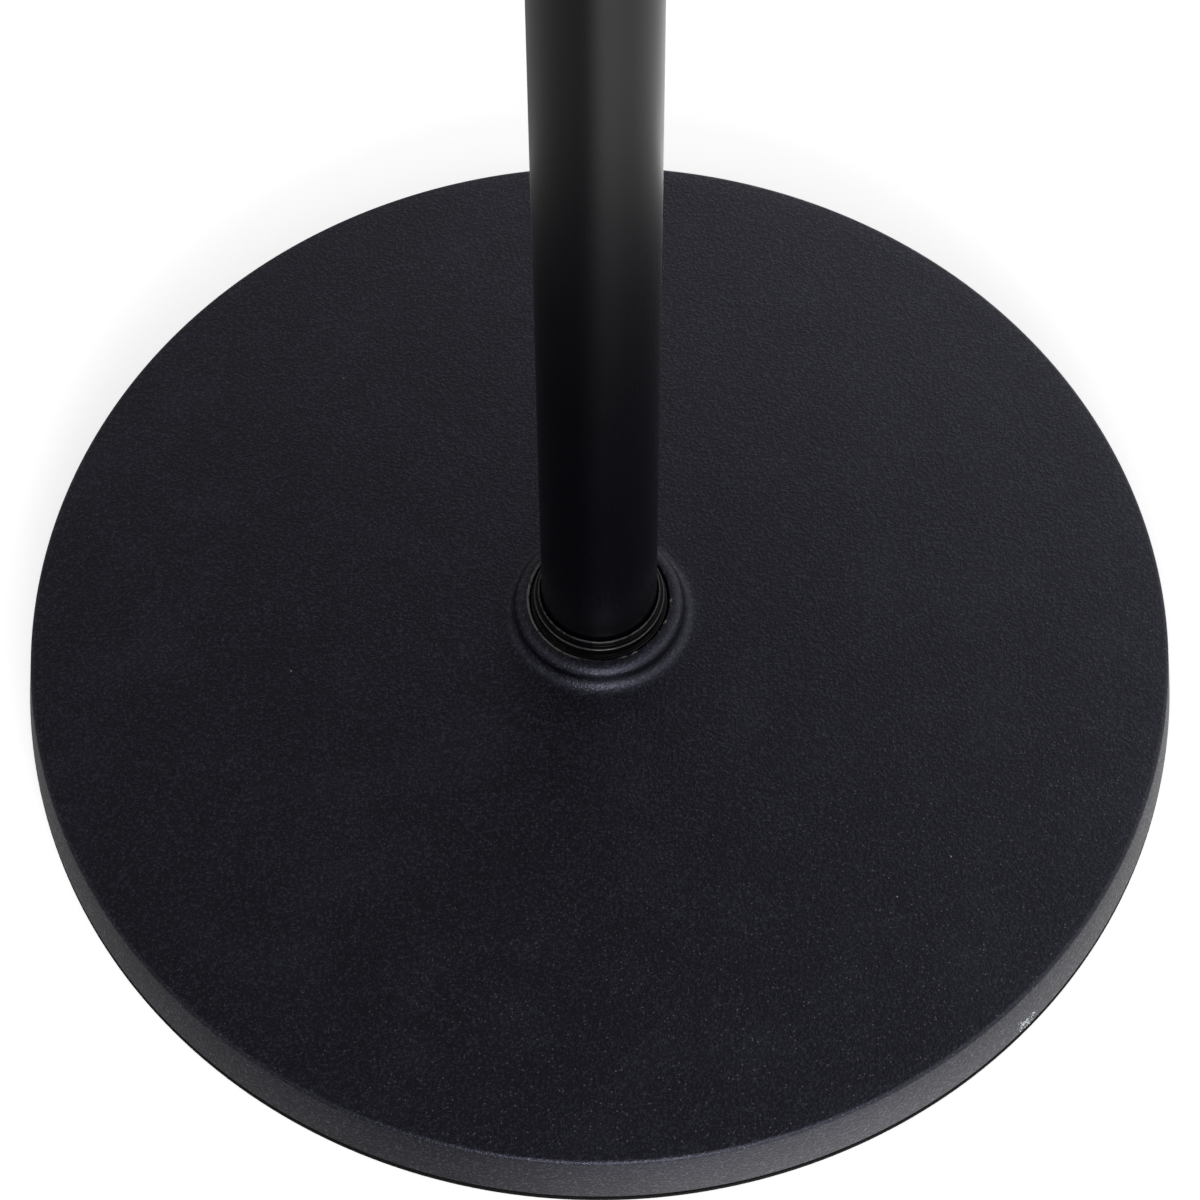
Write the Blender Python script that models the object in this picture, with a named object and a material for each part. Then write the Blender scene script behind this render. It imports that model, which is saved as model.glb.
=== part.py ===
# Straight microphone stand: a round cast base, a lower tube, a twist clutch, and an upper tube
# that slides and turns in it and ends in a stud with a thread adapter.
# Metres, +Z up. The floor is z = 0, and the stand's axis is the Z axis.

import math

import bmesh
import bpy
from mathutils import Matrix

# Clearances
SEAT_GAP = 0.0003
SLIDE_GAP = 0.0003
THREAD_GAP = 0.0003
STOP_GAP = 0.0005

# Cast base
BASE_DIAMETER = 0.254
BASE_EDGE_HEIGHT = 0.0164
SIDE_DRAFT = 0.0017
EDGE_BEVEL = 0.0008
CROWN_RISE = 0.0106
BOSS_HEIGHT = 0.0059
BOSS_WALL = 0.0033
BOSS_SHOULDER = 0.0024
BOSS_ROOT_FILLET = 0.0028
SOCKET_BEVEL = 0.0003
PLATE_THICKNESS = 0.0064
RIM_WIDTH = 0.016
RIM_DRAFT = 0.0015
HUB_WALL = 0.007
HUB_FLOOR_CLEARANCE = 0.0045
FOOT_WEB = 0.0055
TUBE_SOCKET_DEPTH = 0.003
RIB_COUNT = 6
RIB_THICKNESS = 0.005
RIB_DRAFT = 0.0007

# Rubber ring under the rim
RUBBER_LIP = 0.002
RUBBER_WIDTH = 0.011
RUBBER_ROUNDING = 0.0006
GROOVE_INSET = 0.0045
GROOVE_WIDTH = 0.0035
GROOVE_DEPTH = 0.0032

# Bolt and washers under the base
BOLT_DIAMETER = 0.010
BOLT_LENGTH = 0.035
BOLT_HEAD_WIDTH = 0.017
BOLT_HEAD_HEIGHT = 0.0064
BOLT_FLOOR_CLEARANCE = 0.0015
BOLT_HOLE_CLEARANCE = 0.0005
WASHER_DIAMETER = 0.028
WASHER_THICKNESS = 0.002
SPRING_WASHER_WIDTH = 0.0035
SPRING_WASHER_THICKNESS = 0.0022
SPRING_WASHER_RISE = 0.0006
WASHER_SIDE_CLEARANCE = 0.001

# Stepped ring round the foot of the tube
FERRULE_LIP_WALL = 0.0005
FERRULE_STEP = 0.0009
FERRULE_SKIRT_STEP = 0.0007
FERRULE_RECESS = 0.0004
FERRULE_STEP_HEIGHT = 0.0022
FERRULE_LIP_HEIGHT = 0.0039
FERRULE_ROUNDING = 0.0003

# Lower tube and its threaded foot
LOWER_TUBE_DIAMETER = 0.025
LOWER_TUBE_WALL = 0.0012
LOWER_TUBE_LENGTH = 0.780
INSERT_LENGTH = 0.028
INSERT_RECESS = 0.0005

# Guide at the lower end of the upper tube
GUIDE_WALL = 0.0012
GUIDE_SKIRT = 0.030
GUIDE_WEB = 0.003
GUIDE_HOLE_DIAMETER = 0.008
GUIDE_SLOT_WIDTH = 0.0015
GUIDE_SLOT_DEPTH = 0.016
GUIDE_PIN_DIAMETER = 0.003
GUIDE_PIN_HEIGHT = 0.008
GUIDE_PIN_RECESS = 0.0004

# Upper tube
UPPER_TUBE_WALL = 0.0012
UPPER_TUBE_LENGTH = 0.700
REST_EXTENSION = 0.150

# Clutch housing on the top of the lower tube
HOUSING_SKIRT_WALL = 0.0028
HOUSING_SKIRT_LENGTH = 0.032
HOUSING_SHOULDER_THICKNESS = 0.003
HOUSING_SHOULDER_DROP = 0.002
HOUSING_FLARE = 0.006
HOUSING_WEB = 0.005
HOUSING_SEAT_DEPTH = 0.0145
HOUSING_SEAT_WALL = 0.0022
THROAT_CLEARANCE = 0.0006
SET_SCREW_DIAMETER = 0.004
SET_SCREW_DROP = 0.020
SET_SCREW_SOCKET = 0.002
SET_SCREW_RECESS = 0.0003

# Split collet
COLLET_FOOT_WALL = 0.0032
COLLET_FOOT_HEIGHT = 0.0065
COLLET_FINGER_LENGTH = 0.018
COLLET_FINGER_STEP = 0.0004
COLLET_TAPER = 0.0014
COLLET_SLOT_WIDTH = 0.0012
COLLET_SLOT_COUNT = 6

# Pressure ring, slip washer and snap ring in the sleeve
PRESSURE_RING_LIFT = 0.0032
PRESSURE_RING_TOP = 0.001
SLIP_WASHER_THICKNESS = 0.0008
SNAP_RING_THICKNESS = 0.0012
SNAP_RING_WIDTH = 0.0018
SNAP_GROOVE_DEPTH = 0.0009
SNAP_RING_OPENING = 32.0

# Turning sleeve, grip and cap
SLEEVE_WALL = 0.0024
SLEEVE_LIP = 0.0025
SLEEVE_FLANGE_HEIGHT = 0.0018
SLEEVE_NECK_WALL = 0.0012
CLUTCH_PITCH = 0.002
CLUTCH_TURN = 180.0
GRIP_WALL = 0.0019
GRIP_RIB_COUNT = 16
GRIP_RIB_HEIGHT = 0.0009
GRIP_END_BEVEL = 0.0008
CAP_SKIRT_DEPTH = 0.005
CAP_THICKNESS = 0.0026
CAP_ROUNDING = 0.0016
CAP_CLEARANCE = 0.0008

# Stud, adapter and lock ring at the top
STUD_DIAMETER = 0.009525
STUD_SHANK = 0.025
STUD_FLANGE_HEIGHT = 0.0045
STUD_FLATS_WIDTH = 0.017
STUD_TIP_BEVEL = 0.0008
STUD_TIP_RECESS = 0.001
ADAPTER_DIAMETER = 0.015875
ADAPTER_HEIGHT = 0.017
ADAPTER_BEVEL = 0.0009
ADAPTER_SLOT_WIDTH = 0.0016
ADAPTER_SLOT_DEPTH = 0.0018
LOCK_RING_DIAMETER = 0.027
LOCK_RING_HEIGHT = 0.006
LOCK_RING_BEVEL = 0.0009
KNURL_COUNT = 32
KNURL_DEPTH = 0.0005
LOCK_WASHER_WALL = 0.0045
LOCK_WASHER_THICKNESS = 0.0014

# Facets round a turned piece
BASE_FACETS = 60
TUBE_FACETS = 40
CLUTCH_FACETS = 32
SMALL_FACETS = 20
SCREW_FACETS = 14
RIB_POINTS = 6
CROWN_POINTS = 3
ARC_POINTS = 3
SMOOTH_ANGLE = math.radians(32.0)

# Looks: colour, roughness, metallic
TEXTURED_BLACK = ((0.020, 0.020, 0.024), 0.62, 0.0)
SATIN_BLACK = ((0.012, 0.012, 0.014), 0.38, 0.0)
GLOSS_BLACK = ((0.008, 0.008, 0.009), 0.12, 0.0)
BLACK_RUBBER = ((0.018, 0.018, 0.018), 0.85, 0.0)
BLACK_NYLON = ((0.030, 0.030, 0.032), 0.50, 0.0)
WHITE_NYLON = ((0.70, 0.69, 0.65), 0.45, 0.0)
ZINC_STEEL = ((0.62, 0.63, 0.65), 0.32, 1.0)
NICKEL = ((0.66, 0.63, 0.58), 0.22, 1.0)

# Radii from the tube outwards at the foot
base_radius = BASE_DIAMETER / 2
top_edge_radius = base_radius - SIDE_DRAFT
bolt_radius = BOLT_DIAMETER / 2
bolt_hole_radius = bolt_radius + BOLT_HOLE_CLEARANCE
lower_radius = LOWER_TUBE_DIAMETER / 2
lower_bore = lower_radius - LOWER_TUBE_WALL
tube_socket_radius = lower_radius + SEAT_GAP
ferrule_lip_radius = tube_socket_radius + FERRULE_LIP_WALL
ferrule_step_radius = ferrule_lip_radius + FERRULE_STEP
ferrule_skirt_radius = ferrule_step_radius + FERRULE_SKIRT_STEP
ferrule_socket_radius = ferrule_skirt_radius + SEAT_GAP
boss_radius = ferrule_socket_radius + BOSS_WALL
bolt_recess_radius = WASHER_DIAMETER / 2 + WASHER_SIDE_CLEARANCE
hub_radius = bolt_recess_radius + HUB_WALL
groove_outer = base_radius - GROOVE_INSET
groove_inner = groove_outer - GROOVE_WIDTH
rim_inner = base_radius - RIM_WIDTH

# Heights at the foot, from the floor up
rim_bottom = RUBBER_LIP + SEAT_GAP
bolt_head_top = BOLT_FLOOR_CLEARANCE + BOLT_HEAD_HEIGHT
spring_washer_bottom = bolt_head_top + SEAT_GAP
washer_bottom = spring_washer_bottom + SPRING_WASHER_THICKNESS + SPRING_WASHER_RISE + SEAT_GAP
bolt_seat = washer_bottom + WASHER_THICKNESS + SEAT_GAP
tube_floor = bolt_seat + FOOT_WEB
ferrule_seat = tube_floor + TUBE_SOCKET_DEPTH
boss_top = BASE_EDGE_HEIGHT + CROWN_RISE + BOSS_HEIGHT
lower_tube_bottom = tube_floor + SEAT_GAP
lower_tube_top = lower_tube_bottom + LOWER_TUBE_LENGTH

# Radii of the upper tube and the clutch
guide_radius = lower_bore - SLIDE_GAP
upper_radius = guide_radius - GUIDE_WALL - SEAT_GAP
upper_bore = upper_radius - UPPER_TUBE_WALL
throat_radius = upper_radius + THROAT_CLEARANCE
skirt_radius = tube_socket_radius + HOUSING_SKIRT_WALL
collet_bore = upper_radius + SLIDE_GAP
collet_foot_radius = collet_bore + COLLET_FOOT_WALL
collet_seat_radius = collet_foot_radius + SEAT_GAP
finger_root_radius = collet_foot_radius - COLLET_FINGER_STEP
finger_tip_radius = finger_root_radius - COLLET_TAPER
spigot_radius = collet_seat_radius + HOUSING_SEAT_WALL
sleeve_bore = spigot_radius + THREAD_GAP
sleeve_radius = sleeve_bore + SLEEVE_WALL
neck_radius = sleeve_bore + SLEEVE_NECK_WALL
grip_bore = sleeve_radius + SEAT_GAP
grip_root_radius = grip_bore + GRIP_WALL
grip_radius = grip_root_radius + GRIP_RIB_HEIGHT
pressure_ring_radius = sleeve_bore - SLIDE_GAP
snap_groove_radius = sleeve_bore + SNAP_GROOVE_DEPTH
cap_bore = upper_radius + CAP_CLEARANCE

# Heights in the clutch, from the top of the lower tube
web_bottom = SEAT_GAP
web_top = web_bottom + HOUSING_WEB
spigot_top = web_top + HOUSING_SEAT_DEPTH
shoulder_top = -HOUSING_SHOULDER_DROP
collet_bottom = web_top + SEAT_GAP
collet_foot_top = collet_bottom + COLLET_FOOT_HEIGHT
collet_top = collet_foot_top + COLLET_FINGER_LENGTH
pressure_ring_bottom = spigot_top + PRESSURE_RING_LIFT
pressure_ring_top = collet_top + PRESSURE_RING_TOP
snap_ring_top = pressure_ring_bottom - SEAT_GAP
slip_washer_bottom = pressure_ring_top + SEAT_GAP
sleeve_lip_bottom = slip_washer_bottom + SLIP_WASHER_THICKNESS + SEAT_GAP
sleeve_top = sleeve_lip_bottom + SLEEVE_LIP
sleeve_bottom = shoulder_top + STOP_GAP
cap_skirt_bottom = sleeve_top - CAP_SKIRT_DEPTH
cap_top = sleeve_top + SEAT_GAP + CAP_THICKNESS
grip_bottom = sleeve_bottom + SLEEVE_FLANGE_HEIGHT + SEAT_GAP
grip_top = cap_skirt_bottom - SEAT_GAP
clutch_lift = CLUTCH_PITCH * CLUTCH_TURN / 360.0

# Heights on the mast, from the top of the upper tube
stud_flange_top = SEAT_GAP + STUD_FLANGE_HEIGHT
adapter_bottom = stud_flange_top + SEAT_GAP
adapter_top = adapter_bottom + ADAPTER_HEIGHT
lock_ring_bottom = adapter_bottom
lock_ring_top = lock_ring_bottom + LOCK_RING_HEIGHT
lock_washer_bottom = lock_ring_top + SEAT_GAP
mast_lowest = lower_tube_top + cap_top + clutch_lift + STOP_GAP - lock_ring_bottom
mast_top = mast_lowest + REST_EXTENSION

# Radii at the top
adapter_radius = ADAPTER_DIAMETER / 2
stud_radius = STUD_DIAMETER / 2
lock_bore = adapter_radius + THREAD_GAP
lock_ring_radius = LOCK_RING_DIAMETER / 2


def clear_scene():
    for old in list(bpy.data.objects):
        bpy.data.objects.remove(old, do_unlink=True)


def joint_axis(name, height, parent=None):
    axis = bpy.data.objects.new(name, None)
    axis.empty_display_size = 0.02
    axis.parent = parent
    axis.location.z = height
    bpy.context.scene.collection.objects.link(axis)
    return axis


def piece(name, shape, look, axis):
    # A finished object from a bmesh, with its own material, on the empty of its body.
    mesh = bpy.data.meshes.new(name)
    bmesh.ops.recalc_face_normals(shape, faces=shape.faces)
    shape.to_mesh(mesh)
    shape.free()
    mesh.shade_smooth()
    mesh.set_sharp_from_angle(angle=SMOOTH_ANGLE)
    if look:
        color, roughness, metallic = look
        material = bpy.data.materials.new(name)
        material.use_nodes = True
        shader = material.node_tree.nodes["Principled BSDF"]
        shader.inputs["Base Color"].default_value = (*color, 1.0)
        shader.inputs["Roughness"].default_value = roughness
        shader.inputs["Metallic"].default_value = metallic
        mesh.materials.append(material)
    obj = bpy.data.objects.new(name, mesh)
    obj.parent = axis
    bpy.context.scene.collection.objects.link(obj)
    return obj


def shaped_by(obj, operation, shape, name):
    # Cuts, adds or intersects a helper shape by a Boolean that stays on the object.
    helper = piece(name, shape, None, obj.parent)
    helper.hide_render = True
    helper.display_type = "WIRE"
    modifier = obj.modifiers.new(name, "BOOLEAN")
    modifier.operation = operation
    modifier.solver = "EXACT"
    modifier.object = helper


def arc(center, radius, start, end, points=ARC_POINTS):
    # Points of a round corner in the profile plane; angles in degrees from the +radius direction.
    steps = [math.radians(start + (end - start) * i / (points - 1)) for i in range(points)]
    return [(center[0] + radius * math.cos(a), center[1] + radius * math.sin(a)) for a in steps]


def turned(outline, facets):
    # A solid of revolution about the Z axis. The outline is a closed loop of (radius, height),
    # or an open one that starts and ends on the axis.
    shape = bmesh.new()
    corners = [shape.verts.new((radius, 0.0, height)) for radius, height in outline]
    sides = [shape.edges.new(pair) for pair in zip(corners, corners[1:])]
    if outline[0][0] > 0.0:
        sides.append(shape.edges.new((corners[-1], corners[0])))
    bmesh.ops.spin(shape, geom=corners + sides, axis=(0, 0, 1), cent=(0, 0, 0),
                   angle=math.tau, steps=facets, use_merge=True)
    bmesh.ops.remove_doubles(shape, verts=shape.verts, dist=1e-6)
    return shape


def ring_of(outer, inner, bottom, top):
    return [(inner, bottom), (outer, bottom), (outer, top), (inner, top)]


def skinned(shape, loops):
    # Quads between each loop of corners and the next one.
    for near, far in zip(loops, loops[1:]):
        for i in range(len(near)):
            j = (i + 1) % len(near)
            shape.faces.new((near[i], near[j], far[j], far[i]))


def lofted(rows, count):
    # A ring closed in both directions: each row gives the radius at a point round it, and a height.
    shape = bmesh.new()
    angles = [math.tau * index / count for index in range(count)]
    loops = []
    for radius_at, height in rows:
        around = [(radius_at(index), angle) for index, angle in enumerate(angles)]
        loops.append([shape.verts.new((r * math.cos(a), r * math.sin(a), height)) for r, a in around])
    skinned(shape, loops + loops[:1])
    return shape


def split_ring(outer, inner, bottom, thickness, opening, rise, facets):
    # A flat ring with a gap, whose two ends are apart in height by the rise.
    shape = bmesh.new()
    loops = []
    for step in range(facets + 1):
        part = step / facets
        angle = math.radians(opening / 2 + (360.0 - opening) * part)
        base = bottom + rise * part
        section = [(inner, base), (outer, base), (outer, base + thickness), (inner, base + thickness)]
        corners = [shape.verts.new((r * math.cos(angle), r * math.sin(angle), z)) for r, z in section]
        loops.append(corners)
    skinned(shape, loops)
    shape.faces.new(loops[0])
    shape.faces.new(loops[-1])
    return shape


def boxes(sizes_and_places):
    shape = bmesh.new()
    for size, place in sizes_and_places:
        bmesh.ops.create_cube(shape, size=1.0, matrix=place @ Matrix.Diagonal((*size, 1.0)))
    return shape


def rods_along_x(radius, spans, height, facets):
    # Round rods with their axes along X at one height, one for each span from x to x.
    shape = bmesh.new()
    for start, end in spans:
        place = Matrix.Translation(((start + end) / 2, 0.0, height)) @ Matrix.Rotation(math.pi / 2, 4, "Y")
        bmesh.ops.create_cone(shape, cap_ends=True, segments=facets, radius1=radius, radius2=radius,
                              depth=end - start, matrix=place)
    return shape


def crown_height(radius):
    return BASE_EDGE_HEIGHT + CROWN_RISE * (1.0 - (radius / top_edge_radius) ** 2)


def base_casting(axis):
    root_start = boss_radius + BOSS_ROOT_FILLET
    root_height = crown_height(root_start)
    crown_end = top_edge_radius - EDGE_BEVEL
    crown = [root_start + (crown_end - root_start) * i / CROWN_POINTS for i in range(1, CROWN_POINTS + 1)]
    outline = [
        (bolt_hole_radius, bolt_seat),
        (bolt_hole_radius, tube_floor),
        (tube_socket_radius, tube_floor),
        (tube_socket_radius, ferrule_seat),
        (ferrule_socket_radius, ferrule_seat),
        (ferrule_socket_radius, boss_top - SOCKET_BEVEL),
        (ferrule_socket_radius + SOCKET_BEVEL, boss_top),
    ]
    outline += arc((boss_radius - BOSS_SHOULDER, boss_top - BOSS_SHOULDER), BOSS_SHOULDER, 90, 0)
    outline += arc((root_start, root_height + BOSS_ROOT_FILLET), BOSS_ROOT_FILLET, 180, 270)
    outline += [(radius, crown_height(radius)) for radius in crown]
    outline += [
        (top_edge_radius, BASE_EDGE_HEIGHT - EDGE_BEVEL),
        (base_radius, rim_bottom),
        (groove_outer, rim_bottom),
        (groove_outer, rim_bottom + GROOVE_DEPTH),
        (groove_inner, rim_bottom + GROOVE_DEPTH),
        (groove_inner, rim_bottom),
        (rim_inner, rim_bottom),
        (rim_inner - RIM_DRAFT, crown_height(rim_inner) - PLATE_THICKNESS),
        (hub_radius + RIM_DRAFT, crown_height(hub_radius) - PLATE_THICKNESS),
        (hub_radius, HUB_FLOOR_CLEARANCE),
        (bolt_recess_radius, HUB_FLOOR_CLEARANCE),
        (bolt_recess_radius, bolt_seat),
    ]
    casting = piece("base_casting", turned(outline, BASE_FACETS), TEXTURED_BLACK, axis)
    shaped_by(casting, "UNION", base_ribs(), "rib_shapes")


def base_ribs():
    # Radial ribs between the hub and the rim, thinner at their lower edge. Their upper edge rises
    # with the crown inside the plate, and they run into the hub and the rim, so that they join
    # the casting all along.
    inner_end = (bolt_recess_radius + hub_radius) / 2
    outer_end = rim_inner + (groove_inner - rim_inner) / 2
    middle = Matrix.Translation(((inner_end + outer_end) / 2, 0.0, HUB_FLOOR_CLEARANCE))
    size = Matrix.Diagonal((outer_end - inner_end, RIB_THICKNESS, PLATE_THICKNESS, 1.0))
    shape = bmesh.new()
    for index in range(RIB_COUNT):
        turn = Matrix.Rotation(math.tau * (index + 0.5) / RIB_COUNT, 4, "Z")
        rib = bmesh.ops.create_cube(shape, size=1.0, matrix=middle @ size)["verts"]
        for corner in rib:
            if corner.co.z > HUB_FLOOR_CLEARANCE:
                corner.co.z = crown_height(corner.co.x) - PLATE_THICKNESS / 2
            else:
                corner.co.z = HUB_FLOOR_CLEARANCE
                corner.co.y -= math.copysign(RIB_DRAFT, corner.co.y)
        bmesh.ops.transform(shape, matrix=turn, verts=rib)
    return shape


def base_rubber_ring(axis):
    inner = base_radius - RUBBER_WIDTH
    outline = [(inner, 0.0)]
    outline += arc((base_radius - RUBBER_ROUNDING, RUBBER_ROUNDING), RUBBER_ROUNDING, -90, 0, 3)
    outline += [
        (base_radius, RUBBER_LIP),
        (groove_outer - SEAT_GAP, RUBBER_LIP),
        (groove_outer - SEAT_GAP, rim_bottom + GROOVE_DEPTH - SEAT_GAP),
        (groove_inner + SEAT_GAP, rim_bottom + GROOVE_DEPTH - SEAT_GAP),
        (groove_inner + SEAT_GAP, RUBBER_LIP),
        (inner, RUBBER_LIP),
    ]
    piece("base_rubber_ring", turned(outline, BASE_FACETS), BLACK_RUBBER, axis)


def foot_ferrule(axis):
    tread = boss_top - FERRULE_RECESS
    step_top = boss_top + FERRULE_STEP_HEIGHT
    lip_top = boss_top + FERRULE_LIP_HEIGHT
    rounding = FERRULE_ROUNDING
    outline = [(tube_socket_radius, ferrule_seat + SEAT_GAP), (ferrule_skirt_radius, ferrule_seat + SEAT_GAP)]
    outline += arc((ferrule_skirt_radius - rounding, tread - rounding), rounding, 0, 90, 2)
    outline += [(ferrule_step_radius, tread)]
    outline += arc((ferrule_step_radius - rounding, step_top - rounding), rounding, 0, 90, 3)
    outline += [(ferrule_lip_radius, step_top)]
    outline += arc((ferrule_lip_radius - rounding, lip_top - rounding), rounding, 0, 90, 3)
    outline += [(tube_socket_radius, lip_top)]
    piece("foot_ferrule", turned(outline, TUBE_FACETS), GLOSS_BLACK, axis)


def base_bolt(axis):
    corner = BOLT_HEAD_WIDTH / math.sqrt(3.0)
    flat = BOLT_HEAD_WIDTH / 2
    bottom = BOLT_FLOOR_CLEARANCE
    bevel = corner - flat
    head = bmesh.new()
    bmesh.ops.create_cone(head, cap_ends=True, segments=6, radius1=corner, radius2=corner,
                          depth=BOLT_HEAD_HEIGHT, matrix=Matrix.Translation((0, 0, bottom + BOLT_HEAD_HEIGHT / 2)))
    bolt = piece("base_bolt", head, ZINC_STEEL, axis)
    chamfer = [(0.0, bottom - bevel), (flat - bevel, bottom - bevel), (corner + bevel, bottom + bevel),
               (corner + bevel, bolt_head_top + bevel), (0.0, bolt_head_top + bevel)]
    shaped_by(bolt, "INTERSECT", turned(chamfer, SMALL_FACETS), "head_chamfer")
    tip = bolt_head_top + BOLT_LENGTH
    tip_bevel = bolt_radius / 6
    shank = [(0.0, bottom + BOLT_HEAD_HEIGHT / 2), (bolt_radius, bottom + BOLT_HEAD_HEIGHT / 2),
             (bolt_radius, tip - tip_bevel), (bolt_radius - tip_bevel, tip), (0.0, tip)]
    shaped_by(bolt, "UNION", turned(shank, SMALL_FACETS), "bolt_shank")


def bolt_washers(axis):
    inner = bolt_radius + SEAT_GAP
    spring = split_ring(inner + SPRING_WASHER_WIDTH, inner, spring_washer_bottom, SPRING_WASHER_THICKNESS,
                        10.0, SPRING_WASHER_RISE, SMALL_FACETS)
    piece("base_spring_washer", spring, ZINC_STEEL, axis)
    flat = ring_of(WASHER_DIAMETER / 2, inner, washer_bottom, washer_bottom + WASHER_THICKNESS)
    piece("base_washer", turned(flat, SMALL_FACETS), ZINC_STEEL, axis)


def lower_tube(axis):
    tube = ring_of(lower_radius, lower_bore, lower_tube_bottom, lower_tube_top)
    piece("lower_tube", turned(tube, TUBE_FACETS), SATIN_BLACK, axis)
    bottom = lower_tube_bottom + INSERT_RECESS
    insert = ring_of(lower_bore - SEAT_GAP, bolt_radius + THREAD_GAP, bottom, bottom + INSERT_LENGTH)
    piece("foot_insert", turned(insert, SMALL_FACETS), ZINC_STEEL, axis)


def clutch_housing(axis):
    # A skirt over the tube, a flare up to the shoulder, and a threaded spigot that holds the collet.
    skirt_bottom = -HOUSING_SKIRT_LENGTH
    shoulder_radius = grip_root_radius
    shoulder_bottom = shoulder_top - HOUSING_SHOULDER_THICKNESS
    bevel = HOUSING_SKIRT_WALL / 3
    flare = shoulder_radius - skirt_radius
    outline = [(tube_socket_radius, skirt_bottom)]
    outline += arc((skirt_radius - bevel, skirt_bottom + bevel), bevel, -90, 0, 3)
    for i in range(ARC_POINTS + 2):
        angle = math.pi / 2 * i / (ARC_POINTS + 1)
        outline.append((skirt_radius + flare * (1 - math.cos(angle)),
                        shoulder_bottom - HOUSING_FLARE * (1 - math.sin(angle))))
    outline += [
        (shoulder_radius, shoulder_top - bevel),
        (shoulder_radius - bevel, shoulder_top),
        (spigot_radius, shoulder_top),
        (spigot_radius, spigot_top),
        (collet_seat_radius, spigot_top),
        (collet_seat_radius, web_top),
        (throat_radius, web_top),
        (throat_radius, web_bottom),
        (tube_socket_radius, web_bottom),
    ]
    housing = piece("clutch_housing", turned(outline, CLUTCH_FACETS), SATIN_BLACK, axis)
    reach = skirt_radius + HOUSING_SKIRT_WALL
    hole = SET_SCREW_DIAMETER / 2 + THREAD_GAP
    holes = rods_along_x(hole, [(-reach, -lower_radius), (lower_radius, reach)], -SET_SCREW_DROP, SCREW_FACETS)
    shaped_by(housing, "DIFFERENCE", holes, "set_screw_holes")
    set_screws(axis)


def set_screws(axis):
    inner = lower_radius + SEAT_GAP
    outer = skirt_radius - SET_SCREW_RECESS
    depth = (outer - inner) / 2
    for name, side in (("housing_set_screw_left", -1), ("housing_set_screw_right", 1)):
        span = sorted((side * inner, side * outer))
        socket_span = sorted((side * (outer - depth), side * (outer + depth)))
        screw = rods_along_x(SET_SCREW_DIAMETER / 2, [span], -SET_SCREW_DROP, SCREW_FACETS)
        obj = piece(name, screw, ZINC_STEEL, axis)
        socket = rods_along_x(SET_SCREW_SOCKET / math.sqrt(3.0), [socket_span], -SET_SCREW_DROP, 6)
        shaped_by(obj, "DIFFERENCE", socket, name + "_socket")


def clutch_collet(axis):
    # A solid foot with six tapered fingers above it, cut free by slots through the axis.
    outline = [
        (collet_bore, collet_bottom),
        (collet_foot_radius, collet_bottom),
        (collet_foot_radius, collet_foot_top),
        (finger_root_radius, collet_foot_top),
        (finger_tip_radius, collet_top),
        (collet_bore, collet_top),
    ]
    collet = piece("clutch_collet", turned(outline, CLUTCH_FACETS), WHITE_NYLON, axis)
    slot_bottom = collet_foot_top + COLLET_SLOT_WIDTH
    slot_top = collet_top + COLLET_SLOT_WIDTH
    size = (3 * collet_foot_radius, COLLET_SLOT_WIDTH, slot_top - slot_bottom)
    lift = Matrix.Translation((0.0, 0.0, (slot_top + slot_bottom) / 2))
    half = COLLET_SLOT_COUNT // 2
    offset = math.pi / CLUTCH_FACETS
    turns = [Matrix.Rotation(offset + math.pi * index / half, 4, "Z") for index in range(half)]
    shaped_by(collet, "DIFFERENCE", crossed(size, lift, turns), "collet_slots")


def crossed(size, lift, turns):
    # Long boxes through the axis, one for each turn, united so that none overlaps another.
    shape = bmesh.new()
    half_length, half_width = size[0] / 2, size[1] / 2
    count = 2 * len(turns)
    corner = half_width / math.tan(math.pi / count) if count > 2 else half_width
    outline = []
    for index in range(count):
        turn = turns[index % len(turns)]
        if index >= len(turns):
            turn = Matrix.Rotation(math.pi, 4, "Z") @ turn
        for x, y in ((corner, -half_width), (half_length, -half_width), (half_length, half_width)):
            outline.append(lift @ turn @ Matrix.Translation((x, y, -size[2] / 2)))
    corners = [shape.verts.new(place.translation) for place in outline]
    floor = shape.faces.new(corners)
    raised = bmesh.ops.extrude_face_region(shape, geom=[floor], use_keep_orig=True)
    top = [item for item in raised["geom"] if isinstance(item, bmesh.types.BMVert)]
    bmesh.ops.translate(shape, vec=(0.0, 0.0, size[2]), verts=top)
    return shape


def finger_radius(height):
    part = (height - collet_foot_top) / COLLET_FINGER_LENGTH
    return finger_root_radius - COLLET_TAPER * part


def pressure_ring(axis):
    # The inner cone lies on the collet's fingers and closes them as the ring goes down.
    bottom, top = pressure_ring_bottom, pressure_ring_top
    outline = [
        (finger_radius(bottom) + SEAT_GAP, bottom),
        (pressure_ring_radius, bottom),
        (pressure_ring_radius, top),
        (finger_radius(top) + SEAT_GAP, top),
    ]
    piece("pressure_ring", turned(outline, CLUTCH_FACETS), ZINC_STEEL, axis)
    washer = ring_of(pressure_ring_radius, finger_root_radius, slip_washer_bottom,
                     slip_washer_bottom + SLIP_WASHER_THICKNESS)
    piece("slip_washer", turned(washer, SMALL_FACETS), BLACK_NYLON, axis)


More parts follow.
